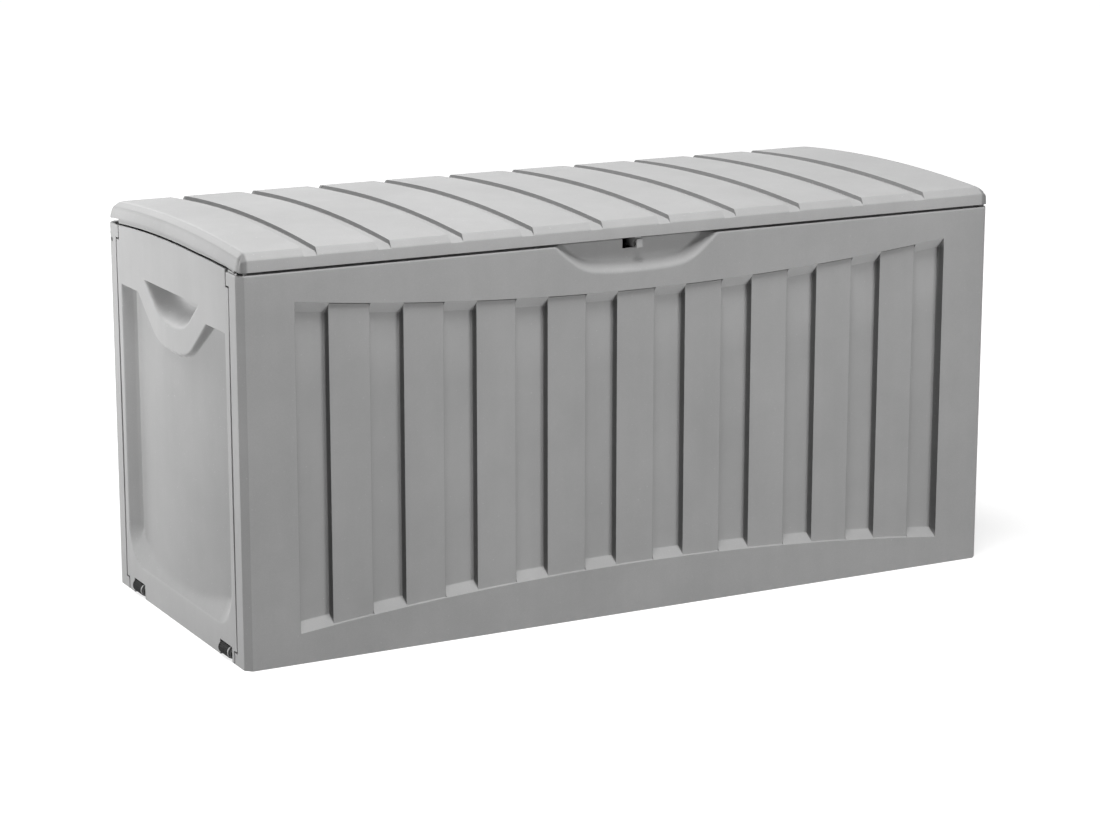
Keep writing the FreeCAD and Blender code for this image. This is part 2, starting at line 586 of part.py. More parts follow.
for i in range(count("cross_rib_count")):
    middle = "(%g*%s)" % (2 * (i + 1) / (count("cross_rib_count") + 1) - 1, FLOOR_HALF_X)
    floor_parts.append(box("floor_cross_rib_%d" % i, ("%s - skin/2" % middle, "%s + skin/2" % middle),
                           ("-%s + skin" % FLOOR_HALF_Y, "%s - skin" % FLOOR_HALF_Y),
                           ("rib_clear", "floor_top - skin")))
floor_holes = []
floor_screw_list = []
for side in (-1, 1):
    wall = "%d*%s" % (side, FLOOR_HALF_Y)
    for i, share in enumerate(LONG_SCREWS):
        tag = "floor_screw_%d_%d" % (side + 1, i)
        across = "%g*%s" % (share, FLOOR_CELL)
        inner = "%s + skin" % wall if side < 0 else "%s - skin" % wall
        hole_start = "%s - %d" % (wall, BEYOND) if side < 0 else "%s - %d" % (inner, BEYOND)
        floor_holes.append(round_bar(tag + "_hole", "Y", (across, hole_start, "floor_screw_height"),
                                     "skin + 2*%d" % BEYOND, "screw_radius + screw_gap"))
        start = "%s - floor_shank" % inner if side < 0 else inner
        floor_screw_list.append(screw(tag, "Y", (across, start, "floor_screw_height"), "floor_shank",
                                      side > 0))
    end_wall = "%d*%s" % (side, FLOOR_HALF_X)
    for i, share in enumerate(END_SCREWS):
        tag = "floor_end_screw_%d_%d" % (side + 1, i)
        along = "%g*%s" % (share, FLOOR_HALF_Y)
        inner = "%s + skin" % end_wall if side < 0 else "%s - skin" % end_wall
        hole_start = "%s - %d" % (end_wall, BEYOND) if side < 0 else "%s - %d" % (inner, BEYOND)
        floor_holes.append(round_bar(tag + "_hole", "X", (hole_start, along, "floor_screw_height"),
                                     "skin + 2*%d" % BEYOND, "screw_radius + screw_gap"))
        start = "%s - floor_shank" % inner if side < 0 else inner
        floor_screw_list.append(screw(tag, "X", (start, along, "floor_screw_height"), "floor_shank",
                                      side > 0))
floor_panel = carve("floor_panel", join("floor_ribbed", floor_parts), floor_holes)
floor_screws = group("floor_screws", floor_screw_list)

# Corner screws: from inside each end panel's edge into the bosses of the front and back panels.
corner_screw_list = []
for across in (-1, 1):
    for side in (-1, 1):
        head_side = "(depth/2 - panel_depth - skin)"
        start = "-%s - corner_shank" % head_side if side < 0 else head_side
        for row, height in enumerate(screw_heights()):
            corner_screw_list.append(screw("corner_screw_%d_%d_%d" % (across + 1, side + 1, row), "Y",
                                           ("%d*(length/2 - screw_inset)" % across, start, height),
                                           "corner_shank", side > 0))
corner_screws = group("corner_screws", corner_screw_list)


def roller(name, sign):
    """A ribbed roller with a bore for its pin."""
    start = "%d*%s - roller_width/2" % (sign, ROLLER_Y)
    x, z = AXLE
    drum = round_bar(name + "_drum", "Y", (x, start, z), "roller_width", "roller_radius")
    bore = round_bar(name + "_bore", "Y", (x, start + " - %d" % BEYOND, z), "roller_width + 2*%d" % BEYOND,
                     "axle_radius + run_gap")
    return carve(name, drum, [bore])


def roller_pin(name, sign):
    """A pin with a long round head, pushed in from the front of its roller."""
    shoulder = "%d*%s - roller_width/2 - roller_play - lug_thick" % (sign, ROLLER_Y)
    x, z = AXLE
    long = "lug_thick + roller_width + 2*roller_play + axle_seat - roller_play"
    return join(name, [round_bar(name + "_pin", "Y", (x, shoulder, z), long, "axle_radius"),
                       round_bar(name + "_head", "Y", (x, shoulder + " - axle_head_long", z),
                                 "axle_head_long", "axle_head")])


front_roller = roller("front_roller", -1)
back_roller = roller("back_roller", 1)
front_roller_pin = roller_pin("front_roller_pin", -1)
back_roller_pin = roller_pin("back_roller_pin", 1)

# Lid: the section along the length is turned about the arch's axis far below, then trimmed front and back.
grooves = count("groove_count")
groove_lines = ["(%g*%s)" % (i - (grooves - 1) / 2, GROOVE_PITCH) for i in range(grooves)]
top_edge = []
for line in groove_lines:
    top_edge += [("%s - groove_run" % line, CROWN), (line, CROWN + " - groove_drop"), (line, CROWN)]
skirt = LID_EDGE + " + " + ARCH_RISE
left_side = [("-length/2 + rim_step", skirt), (END, skirt), (END, CROWN + " - end_bevel_drop"),
             (END + " + end_bevel", CROWN)]
right_side = [("-(%s)" % across, up) for across, up in reversed(left_side)]
lip = [("length/2 - rim_step", skirt + " - lip_drop"), ("-length/2 + rim_step", skirt + " - lip_drop")]
lid_section = outline("lid_section", "XZ", left_side + top_edge + right_side + lip, ("0", "0", "0"))
lid_arch = doc.addObject("Part::Revolution", "lid_arch")
lid_arch.Source = lid_section
lid_arch.Axis = Vector(1, 0, 0)
lid_arch.Solid = True
lid_arch.Symmetric = True
bind(lid_arch, Base__z=ARCH_CENTRE, Angle="2*asin((depth/2 + skin)/(arch_radius - lid_height - lip_drop))")
brow = LID_EDGE + " + lid_height - front_bevel"
lid_profile = outline("lid_profile", "YZ", mirrored([
    ("depth/2 - front_bevel - rim", brow + " + front_bevel + rim"),
    ("depth/2", brow),
    ("depth/2", "wall_top")]), (END, "0", "0"))
lid_bar = doc.addObject("Part::Extrusion", "lid_bar")
lid_bar.Base = lid_profile
lid_bar.DirMode = "Custom"
lid_bar.Dir = Vector(1, 0, 0)
lid_bar.Solid = True
bind(lid_bar, LengthFwd="length")
under = (HINGE_Z, CROWN)
cavity = overlap("lid_cavity", [
    box("lid_cavity_box", (END + " + rim", "length/2 - rim"), (FRONT + " + rim", "depth/2 - rim"), under),
    round_bar("lid_cavity_arch", "X", (END, "0", ARCH_CENTRE), "length", CEILING)])
pocket_edges = [END + " + end_bevel + rim"]
for line in groove_lines:
    pocket_edges += ["%s - groove_run - skin" % line, "%s + skin" % line]
pocket_edges.append("length/2 - end_bevel - rim")
pockets = overlap("lid_pockets", [
    join("lid_pocket_boxes", [box("lid_pocket_%d" % i, span, (FRONT + " + band", "depth/2 - band"), under)
                              for i, span in enumerate(zip(pocket_edges[::2], pocket_edges[1::2]))]),
    round_bar("lid_pocket_arch", "X", (END, "0", ARCH_CENTRE), "length", "arch_radius - skin")])
below_edge = (HINGE_Z, LID_EDGE)
front_step = box("lid_front_step", (END, "length/2"), (FRONT, FRONT + " + rim_step"), below_edge)
back_step = box("lid_back_step", (END, "length/2"), ("depth/2 - lip_stop", "depth/2"), below_edge)
lid_holes = []
lid_screw_list = []
arm_nodes = []


def ceiling_at(where):
    """Height of the lid's arched ceiling at a distance from the middle, front to back."""
    return "(%s + sqrt(%s^2 - (%s)^2))" % (ARCH_CENTRE, CEILING, where)


def lid_foot(name, spots, height):
    """Screws from below through a foot into the lid, and the holes that take them."""
    for i, (x, y) in enumerate(spots):
        lid_holes.append(round_bar("%s_hole_%d" % (name, i), "Z", (x, y, height), "lid_shank",
                                   "screw_radius + screw_gap"))
    return [screw("%s_screw_%d" % (name, i), "Z", (x, y, height), "lid_shank")
            for i, (x, y) in enumerate(spots)]


# Hinge arms: an eye about the rod, a web up to the lid and a foot screwed to the lid's thick back band.
arm_back = HINGE_Y + " + web_back"
arm_front = arm_back + " - arm_foot"
foot_bottom = ceiling_at("depth/2 - rim") + " - foot_thick"
for i, arm in enumerate(ARMS):
    name = "hinge_arm_%d" % (i + 1)
    span = ("%s - arm_width/2" % arm, "%s + arm_width/2" % arm)
    eye = round_bar(name + "_eye", "X", (span[0], HINGE_Y, HINGE_Z), "arm_width", "eye_radius")
    web = box(name + "_web", span, (HINGE_Y + " - web_front", arm_back), (HINGE_Z, CROWN))
    foot = box(name + "_foot", span, (arm_front, arm_back), (foot_bottom, CROWN))
    arch = round_bar(name + "_arch", "X", (span[0], "0", ARCH_CENTRE), "arm_width", CEILING)
    solid = overlap(name + "_solid", [join(name + "_raw", [eye, web, foot]), arch])
    spots = [("%s %s arm_width/4" % (arm, sign), arm_front + " + head_radius + skin") for sign in "-+"]
    arm_holes = [round_bar("%s_bore" % name, "X", (span[0], HINGE_Y, HINGE_Z), "arm_width",
                           "rod_radius + run_gap")]
    arm_holes += [round_bar("%s_clear_%d" % (name, j), "Z", (x, y, foot_bottom), "lid_shank",
                            "screw_radius + screw_gap") for j, (x, y) in enumerate(spots)]
    lid_screw_list += lid_foot(name, spots, foot_bottom)
    arm_nodes.append(carve(name, solid, arm_holes))
hinge_arm_screws = group("hinge_arm_screws", lid_screw_list)

# Lock tab: hangs from the lid's front band, passes through the lock slot and has a shackle hole in the grip.
tab_span = ("tab_place - tab_thick/2", "tab_place + tab_thick/2")
tab_rear = (FRONT + " + rim", FRONT + " + tab_back")
tab_base = ceiling_at(FRONT + " + rim") + " - foot_thick"
tab_foot = SLOT_FOOT + " + skin/2"
tab_post = box("lock_tab_post", tab_span, tab_rear, (tab_foot, CROWN))
tab_nose = box("lock_tab_nose", tab_span, (FRONT + " + tab_nose", tab_rear[1]), (tab_foot, "wall_top"))
tab_plate = box("lock_tab_plate", ("tab_place - tab_foot_half", "tab_place + tab_foot_half"), tab_rear,
                (tab_base, CROWN))
tab_arch = round_bar("lock_tab_arch", "X", (END, "0", ARCH_CENTRE), "length", CEILING)
tab_spots = [("tab_place %s tab_screw" % sign, FRONT + " + (rim + tab_back)/2") for sign in "-+"]
tab_holes = [round_bar("lock_tab_bore", "X", (tab_span[0], FRONT + " + padlock_inset",
                                              "wall_top - padlock_drop"), "tab_thick", "padlock_radius")]
tab_holes += [round_bar("lock_tab_clear_%d" % i, "Z", (x, y, tab_base), "lid_shank",
                        "screw_radius + screw_gap") for i, (x, y) in enumerate(tab_spots)]
tab_raw = join("lock_tab_raw", [tab_post, tab_nose, tab_plate])
lock_tab = carve("lock_tab", overlap("lock_tab_solid", [tab_raw, tab_arch]), tab_holes)
lock_tab_screws = group("lock_tab_screws", lid_foot("lock_tab", tab_spots, tab_base))

lid_shell = carve("lid_shell", overlap("lid_outside", [lid_arch, lid_bar]),
                  [cavity, pockets, front_step, back_step] + lid_holes)

NODES = [front_panel, front_grip, back_panel, left_end_panel, right_end_panel, floor_panel, hinge_rod,
         corner_screws, floor_screws, front_roller, back_roller, front_roller_pin, back_roller_pin, lid_shell,
         *arm_nodes, hinge_arm_screws, lock_tab, lock_tab_screws]
doc.recompute()

for thing in doc.Objects:
    if any(word in ("Invalid", "Error") for word in thing.State):
        raise RuntimeError("%s did not build" % thing.Label)
os.makedirs("parts", exist_ok=True)
for node in NODES:
    shape = node.Shape
    if shape.isNull() or not shape.isValid():
        raise RuntimeError("%s has no sound shape" % node.Label)
    print("%-20s %2d solids %9.1f cm3" % (node.Label, len(shape.Solids), shape.Volume / 1000))
    shape.exportStep("parts/%s.step" % node.Label)
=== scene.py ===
import math
import bmesh
import bpy
import numpy as np
from mathutils import Matrix


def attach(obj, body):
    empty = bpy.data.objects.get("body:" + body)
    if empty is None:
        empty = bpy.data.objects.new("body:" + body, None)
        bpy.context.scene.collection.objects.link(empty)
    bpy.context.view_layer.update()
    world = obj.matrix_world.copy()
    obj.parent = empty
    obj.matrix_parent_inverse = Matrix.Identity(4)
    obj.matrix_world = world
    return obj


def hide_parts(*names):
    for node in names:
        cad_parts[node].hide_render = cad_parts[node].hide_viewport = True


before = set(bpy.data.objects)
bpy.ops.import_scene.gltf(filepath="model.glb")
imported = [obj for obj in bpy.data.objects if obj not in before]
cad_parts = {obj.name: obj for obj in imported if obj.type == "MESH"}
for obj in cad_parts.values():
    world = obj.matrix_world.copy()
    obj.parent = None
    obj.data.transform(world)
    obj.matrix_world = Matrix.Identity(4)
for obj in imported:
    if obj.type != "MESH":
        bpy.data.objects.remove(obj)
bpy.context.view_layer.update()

# Camera: left of the chest's front, a little above it, with a long lens as in the photograph.
# It is level across and looks slightly down.
looks_down, turned_right = math.radians(13.295), math.radians(27.957)
camera = bpy.data.objects.new("camera", bpy.data.cameras.new("camera"))
bpy.context.scene.collection.objects.link(camera)
camera.location = (-2.0511, -3.8496, 1.2732)
camera.rotation_euler = (math.pi / 2 - looks_down, 0, -turned_right)
camera.data.sensor_width = 36
camera.data.lens = 98.63
bpy.context.scene.camera = camera
bpy.context.scene.view_settings.view_transform = "Standard"

# Studio: a white floor under four soft boxes. They stand above, high behind, at the right of the front, and
# low beside the left end. The floor is white to the camera, and keeps the chest's shadow.
def link(tree, socket, value):
    """Feed an input of a node from another node, or with a fixed value."""
    if isinstance(value, bpy.types.NodeSocket):
        tree.links.new(value, socket)
    else:
        socket.default_value = value


def node(tree, kind, settings=(), **inputs):
    """One node of a shader or geometry tree; underscores in an input's name stand for spaces."""
    made = tree.nodes.new(kind)
    for name, value in dict(settings).items():
        setattr(made, name, value)
    for name, value in inputs.items():
        link(tree, made.inputs[name.replace("_", " ")], value)
    return made


def maths(tree, operation, *values):
    """One step of arithmetic in a shader or geometry tree."""
    made = node(tree, "ShaderNodeMath", {"operation": operation})
    for socket, value in zip(made.inputs, values):
        link(tree, socket, value)
    return made.outputs[0]


def product(tree, *values):
    """Several values of a tree multiplied, such as conditions that are each 0 or 1."""
    result = values[0]
    for value in values[1:]:
        result = maths(tree, "MULTIPLY", result, value)
    return result


def new_material(name):
    made = bpy.data.materials.new(name)
    made.use_nodes = True
    made.node_tree.nodes.clear()
    return made, made.node_tree


def soft_box(name, place, aim, width, height, watts, spread=180):
    lamp = bpy.data.lights.new(name, "AREA")
    lamp.spread = math.radians(spread)
    lamp.shape = "RECTANGLE"
    lamp.size = width
    lamp.size_y = height
    lamp.energy = watts
    holder = bpy.data.objects.new(name, lamp)
    bpy.context.scene.collection.objects.link(holder)
    direction = np.array(aim) - np.array(place)
    flat = math.hypot(direction[0], direction[1])
    holder.location = place
    holder.visible_camera = False
    holder.rotation_euler = (math.pi / 2 + math.atan2(direction[2], flat), 0,
                             math.atan2(-direction[0], direction[1]))


soft_box("top_light", (-0.5, -1.25, 3.4), (0, 0, 0.5), 1.6, 1.8, 92)
soft_box("rear_light", (-1.1, 2.9, 2.4), (-0.2, 0, 0.5), 1.4, 1.2, 68)
soft_box("front_light", (1.4, -3.5, 0.6), (0, -0.2, 0.3), 1.2, 1.0, 36)
soft_box("end_light", (-1.9, 0.62, 0.48), (-0.6, 0, 0.48), 0.6, 0.12, 5.7, spread=100)


def looked_at(tree):
    """1 where the camera or a reflection looks, and 0 for the light that reaches the chest."""
    ray = node(tree, "ShaderNodeLightPath")
    return maths(tree, "MAXIMUM", ray.outputs["Is Camera Ray"], ray.outputs["Is Glossy Ray"])


white = (1, 1, 1, 1)
world = bpy.data.worlds.new("studio")
bpy.context.scene.world = world
world.use_nodes = True
air = world.node_tree
air.nodes.clear()
ambient = node(air, "ShaderNodeBackground", Color=white, Strength=0.03)
backdrop = node(air, "ShaderNodeBackground", Color=white, Strength=1.0)
chosen = node(air, "ShaderNodeMixShader", Fac=looked_at(air))
link(air, chosen.inputs[1], ambient.outputs[0])
link(air, chosen.inputs[2], backdrop.outputs[0])
node(air, "ShaderNodeOutputWorld", Surface=chosen.outputs[0])

floor_corners = [(-9, -6, 0), (9, -6, 0), (9, 9, 0), (-9, 9, 0)]
floor_mesh = bpy.data.meshes.new("studio_floor")
floor_mesh.from_pydata(floor_corners, [], [(0, 1, 2, 3)])
studio_floor = bpy.data.objects.new("studio_floor", floor_mesh)
bpy.context.scene.collection.objects.link(studio_floor)

floor_tone, floor_tone_looked_at = 0.30, 0.50
floor_paint, tree = new_material("studio_floor")
looked = looked_at(tree)
shade = maths(tree, "MULTIPLY_ADD", looked, floor_tone_looked_at - floor_tone, floor_tone)
paper = node(tree, "ShaderNodeBsdfDiffuse",
             Color=node(tree, "ShaderNodeCombineColor", Red=shade, Green=shade, Blue=shade).outputs[0])
# Away from the chest the floor fades into the white backdrop.
away = node(tree, "ShaderNodeVectorMath", {"operation": "LENGTH"})
link(tree, away.inputs[0], node(tree, "ShaderNodeTexCoord").outputs["Object"])
whiter = node(tree, "ShaderNodeMapRange", Value=away.outputs["Value"], From_Min=0.8, From_Max=2.2,
              To_Min=0.72, To_Max=1.0)
lift = node(tree, "ShaderNodeEmission", Color=white, Strength=product(tree, looked, whiter.outputs[0]))
bright = node(tree, "ShaderNodeAddShader")
link(tree, bright.inputs[0], paper.outputs[0])
link(tree, bright.inputs[1], lift.outputs[0])
node(tree, "ShaderNodeOutputMaterial", Surface=bright.outputs[0])
floor_mesh.materials.append(floor_paint)

# Back panel and floor: injection-moulded polypropylene in a light grey, with a fine grain, faint cloudy flow
# marks and pale rubbed specks. The back is one moulding with both rear corners. The floor is ribbed, and
# screwed in all round.
def moulded(name, tone, rounding=0.0, rough=0.52):
    """A matte moulded plastic in one grey. Rounding softens the edges of a piece that has none of its own.
    A stored point attribute darkens the plastic with painted shade, and lightens it with painted light where
    it is below 0."""
    cloud_share, flow_share, grain_share, rubbed_share, painted_shade_share = 0.30, 0.08, 0.16, 0.30, 0.15
    rough_share = 0.14
    made, tree = new_material(name)
    spot = node(tree, "ShaderNodeTexCoord").outputs["Object"]
    cloud = node(tree, "ShaderNodeTexNoise", Vector=spot, Scale=7.0, Detail=5.0, Roughness=0.6)
    stretched = node(tree, "ShaderNodeMapping", Vector=spot, Scale=(40.0, 40.0, 3.0))
    flow = node(tree, "ShaderNodeTexNoise", Vector=stretched.outputs[0], Scale=1.0, Detail=3.0)
    grain = node(tree, "ShaderNodeTexNoise", Vector=spot, Scale=900.0, Detail=2.0)
    speck = node(tree, "ShaderNodeTexNoise", Vector=spot, Scale=260.0, Detail=2.0, Roughness=0.7)
    rubbed = node(tree, "ShaderNodeMapRange", Value=speck.outputs["Fac"], From_Min=0.68, From_Max=0.76,
                  To_Min=0.0, To_Max=rubbed_share)
    mottle_and_painted_shade = 1.0
    for pattern, share in ((cloud, cloud_share), (flow, flow_share), (grain, grain_share)):
        change = maths(tree, "MULTIPLY_ADD", pattern.outputs["Fac"], share, -share / 2)
        mottle_and_painted_shade = maths(tree, "ADD", mottle_and_painted_shade, change)
    # Painted shade and painted light: the stored attribute darkens or lightens the grey.
    painted_shading = node(tree, "ShaderNodeAttribute", {"attribute_name": "painted_shading"}).outputs["Fac"]
    mottle_and_painted_shade = product(tree, mottle_and_painted_shade, maths(tree, "MULTIPLY_ADD", painted_shading, -painted_shade_share, 1.0))
    shade = maths(tree, "ADD", product(tree, mottle_and_painted_shade, tone), product(tree, rubbed.outputs[0], tone))
    grey = node(tree, "ShaderNodeCombineColor", Red=shade, Green=shade, Blue=shade)
    matt = maths(tree, "MULTIPLY_ADD", cloud.outputs["Fac"], rough_share, rough - rough_share / 2)
    relief = node(tree, "ShaderNodeBump", Strength=0.25, Distance=0.0003, Height=grain.outputs["Fac"])
    if rounding:
        edge = node(tree, "ShaderNodeBevel", {"samples": 4}, Radius=rounding)
        link(tree, relief.inputs["Normal"], edge.outputs[0])
    skin = node(tree, "ShaderNodeBsdfPrincipled", Base_Color=grey.outputs[0], Roughness=matt,
                Normal=relief.outputs[0])
    skin.inputs["IOR"].default_value = 1.49
    skin.inputs["Specular IOR Level"].default_value = 0.2
    node(tree, "ShaderNodeOutputMaterial", Surface=skin.outputs[0])
    return made


def dress(names, material):
    """Give CAD nodes their finish."""
    for name in names:
        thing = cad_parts[name]
        thing.data.materials.clear()
        thing.data.materials.append(material)


panel_tone = 0.44
dress(["back_panel", "floor_panel"], moulded("edged_plastic", panel_tone, rounding=0.0015))

# End panels: mouldings set between the front and the back, each with a tall recess whose floor bulges
# outwards, and a carrying scoop in a collar at its top. The left one has bays at its foot for the rollers.
# A seam with a small step at the top and the foot parts each from the corners.
panel_plastic = moulded("panel_plastic", panel_tone)
panel_wall, panel_rim = 3.0, 0.5
length_half, wall_top, front_y = 600.0, 541.0, -246.0
seam_inner, seam_outer, seam_width = 212.4, 215.2, 2.6
tab_low, tab_high, tab_step = 16.0, 523.0, 10.0
axle_x, axle_z, roller_places = -593.5, 10.5, {"front_roller": -167.0, "back_roller": 167.0}
bay_front, bay_back, bay_top, bay_depth = 27.5, 15.5, 21.5, 17.5
arch_centre = -2279.9


def arch(y, radius):
    """Height at y of an arc from front to back, about the centre that the lid and the end panels share."""
    return arch_centre + np.sqrt(radius ** 2 - y * y)


def smooth_max(a, b, blend):
    """The larger of two, rounded off where they meet."""
    near = np.clip(blend - np.abs(a - b), 0, None) / blend
    return np.maximum(a, b) + near * near * blend / 4


def smooth_min(a, b, blend):
    return -smooth_max(-a, -b, blend)


def beyond_line(y, z, upper, lower):
    """Distance outside a slanting line from an upper, outer point to a lower, inner one."""
    run, rise = upper[0] - lower[0], upper[1] - lower[1]
    return ((y - lower[0]) * rise - (z - lower[1]) * run) / math.hypot(run, rise)


def bowl(y, z, corners, blend):
    """Distance outside a bowl given by its corners on one side, from the top down."""
    outside = corners[-1][1] - z
    for upper, lower in zip(corners, corners[1:]):
        outside = smooth_max(outside, beyond_line(np.abs(y), z, upper, lower), blend)
    return outside


def recess_relief(y, z):
    """Depth of the recess with the collar left standing in it, and the painted shade on its floor and its
    foot ramp.
    """
    half, foot, top, corner = 198.0, 44.0, 457.0, 58.0
    side_slope, foot_slope, top_slope, collar_slope = 0.85, 2.4, 4.0, 2.6
    bulge_depth, bulge_radius = 5.0, 1314.0
    soft, crisp, rim = 2.5, 1.5, 0.8
    across = np.abs(y) - (half - corner)
    down = (foot + corner) - z
    in_corner = (across > 0) & (down > 0)
    to_side = np.where(in_corner, np.hypot(across, down), np.maximum(across, down)) - corner
    at_foot = np.where(in_corner, (down / np.maximum(np.hypot(across, down), 1e-6)) ** 2, down > across)
    wall = -to_side / (side_slope + (foot_slope - side_slope) * at_foot)
    bulge = bulge_depth + y * y / (2 * bulge_radius)
    ledge = (top - z) * top_slope
    collar = bowl(y, z, [(137, 461), (96, 424), (58, 397), (8, 391)], 14.0) * collar_slope
    recess = smooth_min(smooth_min(wall, bulge, soft), ledge, crisp)
    recess = smooth_min(recess, collar, crisp)

    # Painted shade: the recess's bulging floor and its ramp at the foot are darkened.
    fade, foot_fade, painted_foot_shade = 2.0, 0.6, 1.1
    painted_shade = np.clip((np.minimum(np.minimum(wall, ledge), collar) - bulge) / fade, 0, 1)
    on_ramp = at_foot * np.clip(recess / foot_fade, 0, 1) * np.clip((bulge + fade - wall) / fade, 0, 1)
    return smooth_max(recess, 0.0 * y, rim), painted_shade + painted_foot_shade * on_ramp


def end_relief(y, z, rollers):
    """Depth of the end panel's face behind the chest's end, in millimetres, and its painted shade."""
    depth, painted_shade = recess_relief(y, z)
    scoop_depth, scoop_slope, scoop_top, overhang_slope = 32.0, 1.5, 478.5, 30.0
    scoop_floor, scoop_rim, outer_rim = 8.0, 1.0, 0.8
    inside = -bowl(y, z, [(107, 480), (73, 449), (47, 431), (6, 427)], 16.0)
    scoop = smooth_min(scoop_depth + 0.0 * y, inside * scoop_slope, scoop_floor)
    scoop = smooth_min(scoop, (scoop_top - z) * overhang_slope, scoop_rim)
    depth = smooth_max(depth, scoop, outer_rim)

    seam_depth, lap_depth = 9.0, 3.1
    in_tab = (z < tab_low) | (z > tab_high)
    near_tab = (z < tab_low + seam_width) | (z > tab_high - seam_width)
    seam = (np.abs(y) > seam_inner) | (near_tab & (np.abs(y) > seam_inner - tab_step))
    covered = (np.abs(y) > seam_outer) | (in_tab & (np.abs(y) > seam_outer - tab_step))
    depth = np.where(seam, seam_depth, depth)
    depth = np.where(covered, lap_depth, depth)
    if rollers:
        for middle in roller_places.values():
            bay = (y > middle - bay_front) & (y < middle + bay_back) & (z < bay_top)
            depth = np.where(bay, bay_depth, depth)
    return depth, painted_shade


def lines(*spans):
    """Positions along one axis: each span is (from, to, step)."""
    found = set()
    for start, end, step in spans:
        count = max(1, round((end - start) / step))
        found.update(round(start + (end - start) * i / count, 3) for i in range(count + 1))
    return sorted(found)


def surface(name, points, keep=None, painted_shading=None):
    """A mesh from a table of points in millimetres, [column][row], without the cells that keep refuses.
    The optional table paints shade on each point, and light where it is below 0."""
    columns, rows = points.shape[:2]
    number = np.arange(columns * rows).reshape(columns, rows)
    cells = np.stack([number[:-1, :-1], number[1:, :-1], number[1:, 1:], number[:-1, 1:]], axis=-1)
    wanted = np.ones((columns - 1, rows - 1), bool) if keep is None else keep
    faces = cells[wanted]
    used, flat = np.unique(faces, return_inverse=True)
    mesh = bpy.data.meshes.new(name)
    mesh.from_pydata((points.reshape(-1, 3)[used] / 1000).tolist(), [], flat.reshape(-1, 4).tolist())
    made = bpy.data.objects.new(name, mesh)
    bpy.context.scene.collection.objects.link(made)
    if painted_shading is not None:
        mark = mesh.attributes.new("painted_shading", "FLOAT", "POINT")
        mark.data.foreach_set("value", painted_shading.reshape(-1)[used].astype("float32"))
    return made


def settle(thing):
    """Turn a piece with its modifiers into a plain mesh."""
    seen = thing.evaluated_get(bpy.context.evaluated_depsgraph_get())
    mesh = bpy.data.meshes.new_from_object(seen)
    thing.modifiers.clear()
    thing.data = mesh
    return thing


def moulding(thing, wall, rim, material):
    """Give a surface its wall, where it isn't closed yet, its rounded rims and its smooth finish."""
    sharper_than = math.radians(55)
    thing.data.materials.clear()
    thing.data.materials.append(material)
    thing.data.shade_smooth()
    if wall:
        shell = thing.modifiers.new("wall", "SOLIDIFY")
        shell.thickness = wall / 1000
        shell.offset = -1
    round_rim = thing.modifiers.new("rim", "BEVEL")
    round_rim.width = rim / 1000
    round_rim.segments = 2
    round_rim.limit_method = "ANGLE"
    round_rim.angle_limit = sharper_than
    thing.modifiers.new("shading", "WEIGHTED_NORMAL")
    return settle(thing)


def end_panel(name, rollers):
    """An end panel in the left end's place. Its sheet has more lines where the seam, bays and rims bend."""
    bay_edge = 0.2
    bay_sides = [round(middle + side + step, 3) for middle in roller_places.values()
                 for side in (-bay_front, bay_back) for step in (-bay_edge, bay_edge)]
    half_lines = [-226.0, -215.4, -215.0, -212.5, -212.2, -205.4, -205.0, -202.5, -202.2]
    half_lines += lines((-200, -186, 1.0), (-186, -140, 5.75), (-140, 0, 2.0))
    y_lines = sorted(set(half_lines + [-y for y in half_lines] + bay_sides))
    sheet_top, stretched_from = 548.0, 530
    seam_rows = [16.2, 18.5, 18.8, 21.3, 520.5, 522.8]
    z_lines = sorted(seam_rows + [sheet_top]
                     + lines((0, 15.8, 5.4), (21.7, 42, 5), (42, 116, 2.2), (116, 386, 13.5), (386, 456, 2.0),
                             (456, 458, 0.5), (458, 476, 2.25), (476, 479.5, 0.35), (479.5, 520.2, 10.2))
                     + lines((523.2, 541, 9.1)))
    y, z = np.meshgrid(np.array(y_lines), np.array(z_lines), indexing="ij")

    crown_radius, crown_drop, drop_from, drop_length = 2832.0, 3.5, -212, 120
    to_back = y if rollers else -y
    crown = arch(y, crown_radius) - crown_drop * np.clip((to_back - drop_from) / drop_length, 0, 1)
    stretched = (z - stretched_from) * (crown - stretched_from) / (sheet_top - stretched_from)
    z = np.where(z > stretched_from, stretched_from + stretched, z)
    depth, painted_shade = end_relief(y, z, rollers)

    most_gape, gape_height, gape_reach, on_seam = 2.4, 250, 235, 0.3
    gape = most_gape * np.clip(1 - ((z - gape_height) / gape_reach) ** 2, 0, None)
    y = y - np.where(np.abs(np.abs(y) - seam_inner) < on_seam, np.sign(y) * gape, 0)
    points = np.stack([depth - length_half, y, z], axis=-1)
    sheet = surface(name, points[::-1], painted_shading=painted_shade[::-1])
    return moulding(sheet, panel_wall, panel_rim, panel_plastic)


def add_lugs(panel):
    """The lug in front of each roller, which carries the front end of its pin."""
    radius, start, end, sides = 9.3 / 1000, -18.5, -15.5, 32
    shape = bmesh.new()
    shape.from_mesh(panel.data)
    along_y = Matrix.Rotation(math.pi / 2, 4, "X")
    for middle in roller_places.values():
        place = Matrix.Translation((axle_x / 1000, (middle + (start + end) / 2) / 1000, axle_z / 1000))
        bmesh.ops.create_cone(shape, cap_ends=True, segments=sides, radius1=radius, radius2=radius,
                              depth=(end - start) / 1000, matrix=place @ along_y)
    shape.to_mesh(panel.data)
    shape.free()
    return panel


left_end = add_lugs(end_panel("left_end", True))
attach(left_end, "chest")
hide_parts("left_end_panel")

right_end = end_panel("right_end", False)
right_end.data.transform(Matrix.Rotation(math.pi, 4, "Z"))
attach(right_end, "chest")
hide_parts("right_end_panel")
